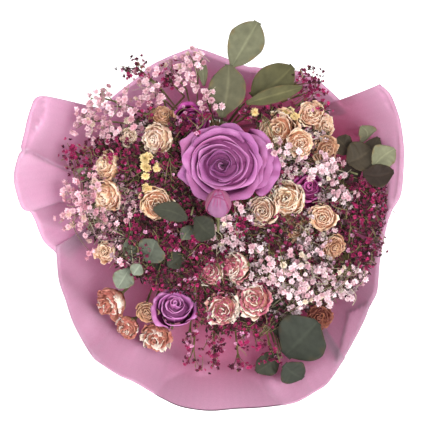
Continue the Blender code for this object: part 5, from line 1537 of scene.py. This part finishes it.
def fill_face():
    """Places between the florets seen in the picture, each given to the spray that it is nearest to."""
    draw = random.Random(FILL_SEED)
    seeds = [(x, y, name) for name, pixels in {**GYPSOPHILA, **STATICE}.items() for x, y in pixels]
    wine_seeds = [seed for seed in seeds if seed[2] in STATICE]
    spots = {name: [] for name in (*GYPSOPHILA, *STATICE, *CREAM)}
    steps = range(0, PICTURE_PIXELS, FILL_STEP)
    for x, y, depth in itertools.product(steps, steps, FILL_DEPTHS):
        place = (x + draw.uniform(-0.5, 0.5) * FILL_STEP, y + draw.uniform(-0.5, 0.5) * FILL_STEP)
        bare = min(math.dist(place, (x0, y0)) - radius for x0, y0, radius in BARE_SPOTS)
        if bare < 0.0 or not inside(place, FACE_EDGE):
            continue
        near = wine_seeds if draw.random() < WINE_SHARE else seeds
        name = min(near, key=lambda seed: math.dist(place, seed[:2]))[2]
        spots[name].append((*place, depth + draw.uniform(-3.0, 3.0)))
    return spots


def wrap_spread(share):
    """The wrap's radius, from its throat at 0 to its rim at 1."""
    share = np.asarray(share, dtype=float)
    opening = WRAP_STRAIGHT * share + (1.0 - WRAP_STRAIGHT) * share ** 3
    return np.where(share < 0.0, THROAT - WRAP_FLARE * share, THROAT + (WRAP_RADIUS - THROAT) * opening)


def wrap_out(angle):
    """How far out of the face's plane the rim waves, at an angle round the wrap."""
    top = np.maximum(0.0, np.sin(angle))
    low = np.maximum(0.0, -np.sin(angle))
    return -WRAP_LEAN * top * top + WRAP_RIPPLE * (1.0 - low) * np.sin(WRAP_RIPPLES * angle + 0.6)


def off_flat(angle):
    """How far an angle is from the middle of the wrap's flat side, as a share of its half."""
    return np.abs((angle + math.pi / 2 + math.pi) % TAU - math.pi) / FLAT_HALF_ANGLE


def wrap_point(angle, share):
    """Points of the wrap's middle surface, which every sheet follows."""
    spread = wrap_spread(share)
    rise = wrap_out(angle) * np.maximum(0.0, share)
    point = TIE * (1.0 - share)[..., None]
    point = point + np.stack((spread * np.cos(angle), spread * np.sin(angle), rise), axis=-1)
    sag = WRAP_SAG * smooth(share, SAG_START, SAG_START + SAG_LENGTH) * smooth(1.4 * (1.0 - off_flat(angle)))
    return point - UP * sag[..., None]


def wrap_normal(angle, share):
    """The way out of the wrap."""
    round_it = wrap_point(angle + SLOPE_STEP, share) - wrap_point(angle - SLOPE_STEP, share)
    along_it = wrap_point(angle, share + SLOPE_STEP) - wrap_point(angle, share - SLOPE_STEP)
    return unit(np.cross(round_it, along_it))


def wrap_place(target):
    """The angle and share at which the wrap is seen at a point of the picture."""
    low = 0.0
    high = WIDEST_SHARE
    for _ in range(SEARCH_ROUNDS):
        share = (low + high) / 2
        middle = TIE * (1.0 - share)
        if math.hypot(target[0] - middle[0], target[1] - middle[1]) > wrap_spread(share):
            low = share
        else:
            high = share
    return math.atan2(target[1] - middle[1], target[0] - middle[0]) % TAU, share


def round_corners(points):
    """A smooth line through points."""
    points = np.array(points, dtype=float)
    longer = np.vstack((points[:1] * 2 - points[1:2], points, points[-1:] * 2 - points[-2:-1]))
    slopes = (longer[2:] - longer[:-2]) * CORNER_PULL
    line = []
    for i, k in itertools.product(range(len(points) - 1), range(EDGE_STEPS)):
        t = k / EDGE_STEPS
        line.append(
            (2 * t ** 3 - 3 * t ** 2 + 1) * points[i] + (t ** 3 - 2 * t ** 2 + t) * slopes[i]
            + (3 * t ** 2 - 2 * t ** 3) * points[i + 1] + (t ** 3 - t ** 2) * slopes[i + 1])
    return np.array(line + [points[-1]])


def from_line(points, line):
    """How far points of the face's plane are from a line through pixels, and how far on its left."""
    best = np.full(points.shape[:-1], np.inf)
    left = np.zeros(points.shape[:-1])
    for start, end in zip(line, line[1:]):
        start = at(*start)[:2]
        way = at(*end)[:2] - start
        along = np.clip((points - start) @ way / way.dot(way), 0.0, 1.0)
        gap = points - start - along[..., None] * way
        far = np.linalg.norm(gap, axis=-1)
        side = (way[0] * gap[..., 1] - way[1] * gap[..., 0]) / np.linalg.norm(way)
        left = np.where(far < best, side, left)
        best = np.minimum(far, best)
    return best, left


def fold_lift(points):
    """How far folds bring the paper toward the flowers, and painted shade beside them, less painted light."""
    lift = np.zeros(points.shape[:-1])
    dark = np.zeros(points.shape[:-1])
    light = np.zeros(points.shape[:-1])
    for start, end, height, width in CREASES:
        gap, _ = from_line(points, (start, end))
        lift += height * bell(gap, width)
    for line, height, left, right in FOLDS:
        gap, side = from_line(points, line)
        ends = bell(np.sqrt(np.maximum(0.0, gap * gap - side * side)), FOLD_ENDS)
        lift += height * bell(side, np.where(side > 0.0, left, right)) * ends
        low = side if left < right else -side
        shade = FOLD_LINE * bell(low, FOLD_LINE_WIDTH) + FOLD_BAND * bell(low, FOLD_BAND_WIDTH)
        dark = np.maximum(dark, shade * smooth(low, 0.0, 1.0) * ends)
        light = np.maximum(light, FOLD_LIGHT * bell(low, FOLD_LIGHT_WIDTH) * (low <= 0.0) * ends)
    return lift, dark - light


def wrap_grid(layer, angle, last, roll):
    """A grid over a sheet of the paper, its painted light and shade at folds, and its painted shade deep
    inside.
    """
    part = np.linspace(0.0, 1.0, WRAP_ROWS)[None] ** ROW_SPACING
    share = WRAP_START + (last[:, None] - WRAP_START) * part
    turn = angle[:, None] + 0 * share
    middle = wrap_point(turn, share)
    normal = wrap_normal(turn, share)

    # Waves that the paper has everywhere, and pleats where it is gathered at the tie
    lift = 0 * turn
    for height, waves, sway, sways, low, high in PAPER_WAVES:
        lift += height * np.sin(turn * waves + sway * np.sin(turn * sways)) * smooth(share, low, high)
    gather = smooth(share, 0.06, 0.22) * (1.0 - 0.9 * smooth(share, 0.35, 0.9))
    lift += GATHER * (1.0 + np.sin(turn * 19.0 + 2.6 * np.sin(turn * 3.0 + 1.0))) * gather
    folded, line = fold_lift(middle[..., :2])
    lift -= folded
    middle = middle + normal * (layer * LAYER_STEP + lift * smooth(share, 0.05, 0.4))[..., None]

    # The rolled rim
    toward = unit(middle[:, -1] - middle[:, -2])
    grid = [middle]
    for bend in np.arange(1, ROLL_ROWS + 1) * ROLL_TURN / ROLL_ROWS:
        way = math.sin(bend) * toward + (1.0 - math.cos(bend)) * normal[:, -1]
        grid.append((middle[:, -1] + roll[:, None] * way)[:, None])
    grid = np.concatenate(grid, axis=1)
    line = np.pad(line, ((0, 0), (0, ROLL_ROWS)))
    deep = paper_shade_share(angle, np.pad(share, ((0, 0), (0, ROLL_ROWS)), mode="edge"), last)
    below = PAPER_OVER_FLOOR - (grid @ UP + FACE_HEIGHT)
    return grid + UP * np.maximum(0.0, below)[..., None], line, deep


def paper_shade_share(angle, share, last):
    """Painted shade on the paper, from 0 to 1: more deep inside the wrap and on the side that is in shade."""
    side = np.clip(0.48 + 0.40 * np.cos(angle - DEEP_SIDE), 0.0, 1.0)[:, None]
    return side * (1.0 - smooth(share / last[:, None], *DEEP_EDGE))


def seen_reach(points):
    """How far from the picture's middle the camera sees points, in millimetres on the face."""
    seen = points[..., :2] / (1.0 - points[..., 2:] * MM / CAMERA_DISTANCE)
    return np.linalg.norm(seen, axis=-1)


def make_wrap(name, material):
    """One sheet of the paper: pleated from the tie, creased, and rolled at its edge."""
    layer, edge = SHEETS[name]
    places = []
    for spot in (at(x, y) for x, y in round_corners(edge)):
        angle, share = wrap_place(spot)
        if name == "wrap_right":
            angle = (angle + math.pi) % TAU - math.pi
        places.append((angle, share, float(np.linalg.norm(spot))))
    places = np.array(sorted(places))
    keep = np.concatenate(([True], np.diff(places[:, 0]) > LEAST_TURN))
    angle, rim, aim = places[keep].T
    roll = ROLLS[name] * (1.0 + 0.25 * np.sin(angle * 3.0 + layer * 2.0))
    if name == "wrap_bottom":
        roll = np.where(off_flat(angle) < FLAT_ROLL_REACH, FLAT_ROLL, roll)

    # The rim is drawn in until the camera sees it where the picture has the paper's edge
    step = np.linalg.norm(wrap_point(angle, rim) - wrap_point(angle, rim - RIM_STEP), axis=-1) / RIM_STEP
    last = rim - roll / step
    for _ in range(RIM_ROUNDS):
        grid, _, _ = wrap_grid(layer, angle, last, roll)
        last = last - (seen_reach(grid).max(axis=1) + PAPER / 2 - aim) / step
    grid, line, deep = wrap_grid(layer, angle, last, roll)
    soup = Soup()
    fibre = 1.0 + 0.012 * np.sin(angle * 150.0)
    # Painted light and shade: lighter or darker at angles round the wrap and beside its folds, over the
    # paper's own fine fibre stripes
    tone = (np.interp(np.degrees(angle) % 360.0, *zip(*PAPER_PAINTED_LIGHT)) * fibre)[:, None] * (1.0 - line)
    # Painted shade: deep inside the wrap the paper blends toward a darker colour
    paint = blend(PAPER_COLOUR, PAPER_SHADED, deep) * tone[..., None]
    soup.sheet(grid[:, ::-1], PAPER, paint[:, ::-1])
    piece = soup.build(name + "_paper", material, name)


def make_twine(material):
    """A few turns of two-ply twine round the stems, and a tail."""
    soup = Soup()
    middle = (TWINE_BOX[1][0] - TWINE_BOX[0][0]) / 2 / MM - TWINE_RADIUS * math.cos(TWINE_CORNER)
    turns = np.linspace(0.0, TWINE_TURNS, TWINE_POINTS)
    level = (turns - TWINE_TURNS / 2) * TWINE_PITCH
    base = TIE * (1.0 + (level - TWINE_BEHIND) / TIE[2])[:, None]
    out = ring_grid(1.0, turns * TAU, 0.0)
    for ply in (0.0, math.pi):
        twist = turns * TAU * PLY_TWISTS + ply
        line = base + out * (middle + PLY_REACH * np.cos(twist))[:, None]
        line[:, 2] += PLY_REACH * np.sin(twist)
        soup.tube(line, PLY_RADIUS, TWINE_SIDES, TWINE_COLOUR)
    tail = []
    for k in range(TAIL_POINTS):
        tail.append(base[-1] + out[-1] * (middle + TAIL_START + TAIL_STEP * k) + UP * (TAIL_RISE * k))
    soup.tube(tail, TAIL_RADIUS, TWINE_SIDES, TWINE_COLOUR)
    soup.build("twine_turns", material, "twine")


def make_ribbon(material):
    """A satin band round the wrap at the tie, its knot and two tails with notched ends."""
    soup = Soup()
    across = np.linspace(-1.0, 1.0, 13)[None] * np.ones((121, 1))
    angle = np.linspace(math.pi / 2, math.pi / 2 + TAU, 121)[:, None] + 0 * across
    share = across * (RIBBON_WIDTH / 2 / np.linalg.norm(TIE))
    pinch = bell(np.abs(angle - math.pi / 2 - math.pi) - math.pi, 0.35)
    lift = BAND_OUT + BAND_WAVE * np.sin(across * 7.0 + 2.0 * np.sin(angle * 2.0)) * (0.35 + pinch)
    grid = wrap_point(angle, share) + wrap_normal(angle, share) * lift[..., None]
    soup.sheet(grid, RIBBON_THICKNESS, RIBBON_COLOUR)

    top = np.array(math.pi / 2)
    knot = wrap_point(top, 0 * top) + wrap_normal(top, 0 * top) * (BAND_OUT + KNOT_HEIGHT)
    along = unit(TIE)
    out = unit(knot - TIE)
    side = np.array((1.0, 0.0, 0.0))
    turn = np.linspace(0.0, TAU, 41)[None]
    x = np.linspace(-1.0, 1.0, 19)[:, None]
    radius = KNOT_RADIUS - KNOT_WAIST * np.abs(x) ** 2.4
    radius = radius + KNOT_FOLD * np.sin(x * 16.0 + 2.0 * np.sin(turn))
    grid = (knot + side * (x * KNOT_HALF + 0 * turn)[..., None] + out * (radius * np.cos(turn))[..., None]
            + along * (radius * 1.15 * np.sin(turn))[..., None])
    soup.sheet(grid, KNOT_THICKNESS, RIBBON_COLOUR)

    part, across = spans(33, 11)
    run = part * (1.0 - RIBBON_NOTCH * (1.0 - np.abs(across)) * smooth(part, 0.7, 1.0))
    rise = RIBBON_ARCH * np.sin(math.pi * run) - RIBBON_DROP * run
    apart = RIBBON_APART[0] + RIBBON_APART[1] * run
    cup = RIBBON_CUP * np.abs(across) * (1.0 - smooth(run, 0.0, 0.3))
    width = RIBBON_WIDTH * (0.16 + 0.20 * smooth(run, 0.0, 0.25))
    for hand in (-1.0, 1.0):
        middle = knot + along * (RIBBON_TAIL * run)[..., None] + side * (hand * apart)[..., None]
        wave = RIBBON_TWIST * np.sin(run * 9.0 + hand) * across + cup
        grid = middle + np.array((1.0, 0.12 * hand, 0.0)) * (across * width)[..., None]
        soup.sheet(grid + UP * (rise + wave)[..., None], RIBBON_THICKNESS, RIBBON_COLOUR)
    soup.build("ribbon_band", material, "ribbon")


def node_material(name, roughness, sheen=0.0, specular=0.4):
    """A material, its node tree and its shader."""
    material = bpy.data.materials.new(name)
    material.use_nodes = True
    shader = material.node_tree.nodes["Principled BSDF"]
    shader.inputs["Roughness"].default_value = roughness
    shader.inputs["Sheen Weight"].default_value = sheen
    shader.inputs["Specular IOR Level"].default_value = specular
    return material, material.node_tree, shader


def add_noise(tree, scale, stretch=(1.0, 1.0, 1.0)):
    """A noise texture in the object's own coordinates."""
    coordinates = tree.nodes.new("ShaderNodeTexCoord")
    mapping = tree.nodes.new("ShaderNodeMapping")
    mapping.inputs["Scale"].default_value = stretch
    tree.links.new(coordinates.outputs["Object"], mapping.inputs["Vector"])
    noise = tree.nodes.new("ShaderNodeTexNoise")
    noise.inputs["Scale"].default_value = scale
    noise.inputs["Detail"].default_value = NOISE_DETAIL
    tree.links.new(mapping.outputs["Vector"], noise.inputs["Vector"])
    return noise.outputs["Fac"]


def add_ramp(tree, source, low, high):
    """A colour that goes from one to another as the noise rises."""
    ramp = tree.nodes.new("ShaderNodeValToRGB")
    for element, place, colour in zip(ramp.color_ramp.elements, RAMP_STOPS, (low, high)):
        element.position = place
        element.color = (*colour, 1.0)
    tree.links.new(source, ramp.inputs["Fac"])
    return ramp.outputs["Color"]


def add_bump(tree, shader, source, height):
    """Relief of a height in metres."""
    bump = tree.nodes.new("ShaderNodeBump")
    bump.inputs["Distance"].default_value = height
    tree.links.new(source, bump.inputs["Height"])
    tree.links.new(bump.outputs["Normal"], shader.inputs["Normal"])


def painted_material(name, roughness, scale, low, high, relief, fine, sheen, specular, subsurface, depth):
    """A material that takes the mesh's painted colour, mottles it and adds fine relief."""
    material, tree, shader = node_material(name, roughness, sheen, specular)
    paint = tree.nodes.new("ShaderNodeAttribute")
    paint.attribute_name = PAINT
    mix = tree.nodes.new("ShaderNodeMix")
    mix.data_type = "RGBA"
    mix.blend_type = "MULTIPLY"
    mix.inputs["Factor"].default_value = 1.0
    tree.links.new(paint.outputs["Color"], mix.inputs["A"])
    tree.links.new(add_ramp(tree, add_noise(tree, scale), (low,) * 3, (high,) * 3), mix.inputs["B"])
    tree.links.new(mix.outputs["Result"], shader.inputs["Base Color"])
    add_bump(tree, shader, add_noise(tree, fine), relief)
    shader.inputs["Subsurface Weight"].default_value = subsurface
    shader.inputs["Subsurface Radius"].default_value = SCATTER
    shader.inputs["Subsurface Scale"].default_value = depth
    return material


def bark_material(name, roughness, scale, low, high, relief, stretch):
    """A material whose colour varies between two by noise, with fine relief."""
    material, tree, shader = node_material(name, roughness)
    noise = add_noise(tree, scale, stretch)
    tree.links.new(add_ramp(tree, noise, low, high), shader.inputs["Base Color"])
    add_bump(tree, shader, noise, relief)
    return material


def make_floor():
    """The plain pale floor."""
    mesh = bpy.data.meshes.new("floor")
    corners = [(x * FLOOR_HALF, y * FLOOR_HALF, 0.0) for x, y in ((-1, -1), (1, -1), (1, 1), (-1, 1))]
    mesh.from_pydata(corners, [], [(0, 1, 2, 3)])
    floor = bpy.data.objects.new("floor", mesh)
    bpy.context.scene.collection.objects.link(floor)
    material, _, shader = node_material("floor", FLOOR_ROUGHNESS)
    shader.inputs["Base Color"].default_value = FLOOR_COLOUR
    shader.inputs["Emission Color"].default_value = WHITE
    shader.inputs["Emission Strength"].default_value = FLOOR_GLOW
    mesh.materials.append(material)


def add_area(name, place, aim, size, power):
    """A soft square light that looks at a point."""
    data = bpy.data.lights.new(name, "AREA")
    data.size = size
    data.energy = power
    light = bpy.data.objects.new(name, data)
    light.location = place
    axis = unit(place - aim)
    light.rotation_euler = (math.acos(axis[2]), 0.0, math.atan2(axis[0], -axis[1]))
    bpy.context.scene.collection.objects.link(light)


def make_studio():
    """Camera square to the face of flowers, soft lights and a pale surround."""
    camera = bpy.data.objects.new("camera", bpy.data.cameras.new("camera"))
    camera.location = to_world(np.array((0.0, 0.0, CAMERA_DISTANCE / MM)))
    camera.rotation_euler = (math.pi / 2 - FACE_TILT, 0.0, 0.0)
    camera.data.sensor_width = SENSOR_MM
    camera.data.lens = SENSOR_MM * CAMERA_DISTANCE / (PICTURE_PIXELS * MM_PER_PIXEL * MM)
    camera.data.clip_end = CLIP_END
    scene = bpy.context.scene
    scene.collection.objects.link(camera)
    scene.camera = camera
    for name, place, size, power in LIGHTS:
        add_area(name, to_world(np.array(place)), to_world(np.array(LIGHT_AIM)), size, power)
    world = bpy.data.worlds.new("studio")
    world.use_nodes = True
    surround = world.node_tree.nodes["Background"]
    surround.inputs["Color"].default_value = WHITE
    surround.inputs["Strength"].default_value = SURROUND_LIGHT
    scene.world = world
    scene.view_settings.view_transform = "Standard"


def main():
    """Every piece of the bouquet, then the floor, the camera and the lights."""
    looks = {name: painted_material(name, *row) for name, row in PAINTED.items()}
    barks = {name: bark_material(name, *row) for name, row in BARKS.items()}
    blooms = make_blooms()
    for name, bloom in blooms.items():
        if name == "big_rose":
            make_big_rose(bloom, looks["preserved_petal"])
        elif name == "mauve_bud":
            make_bud(bloom, looks["preserved_petal"])
        elif name in MAUVE_ROSES:
            make_mauve_rose(bloom, looks["preserved_petal"])
        else:
            make_spray_rose(bloom, looks["dried_petal"])
    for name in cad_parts:
        if "rose_stem" in name:
            make_stems(name, barks["rose_bark"])
    for name in LEAVES:
        make_leaves(name, looks["dried_leaf"], barks["leaf_bark"])

    shapes = make_shapes()
    filling = fill_face()
    for name, pixels in {**GYPSOPHILA, **STATICE, **CREAM}.items():
        bark = barks["wine_twig_bark" if name in STATICE else "twig_bark"]
        make_spray(name, pixels, filling[name], blooms, shapes, looks["floret"], bark)
    for name in SHEETS:
        make_wrap(name, looks["wrap_paper"])
    make_twine(looks["twine_jute"])
    make_ribbon(looks["ribbon_satin"])
    make_floor()
    make_studio()


main()
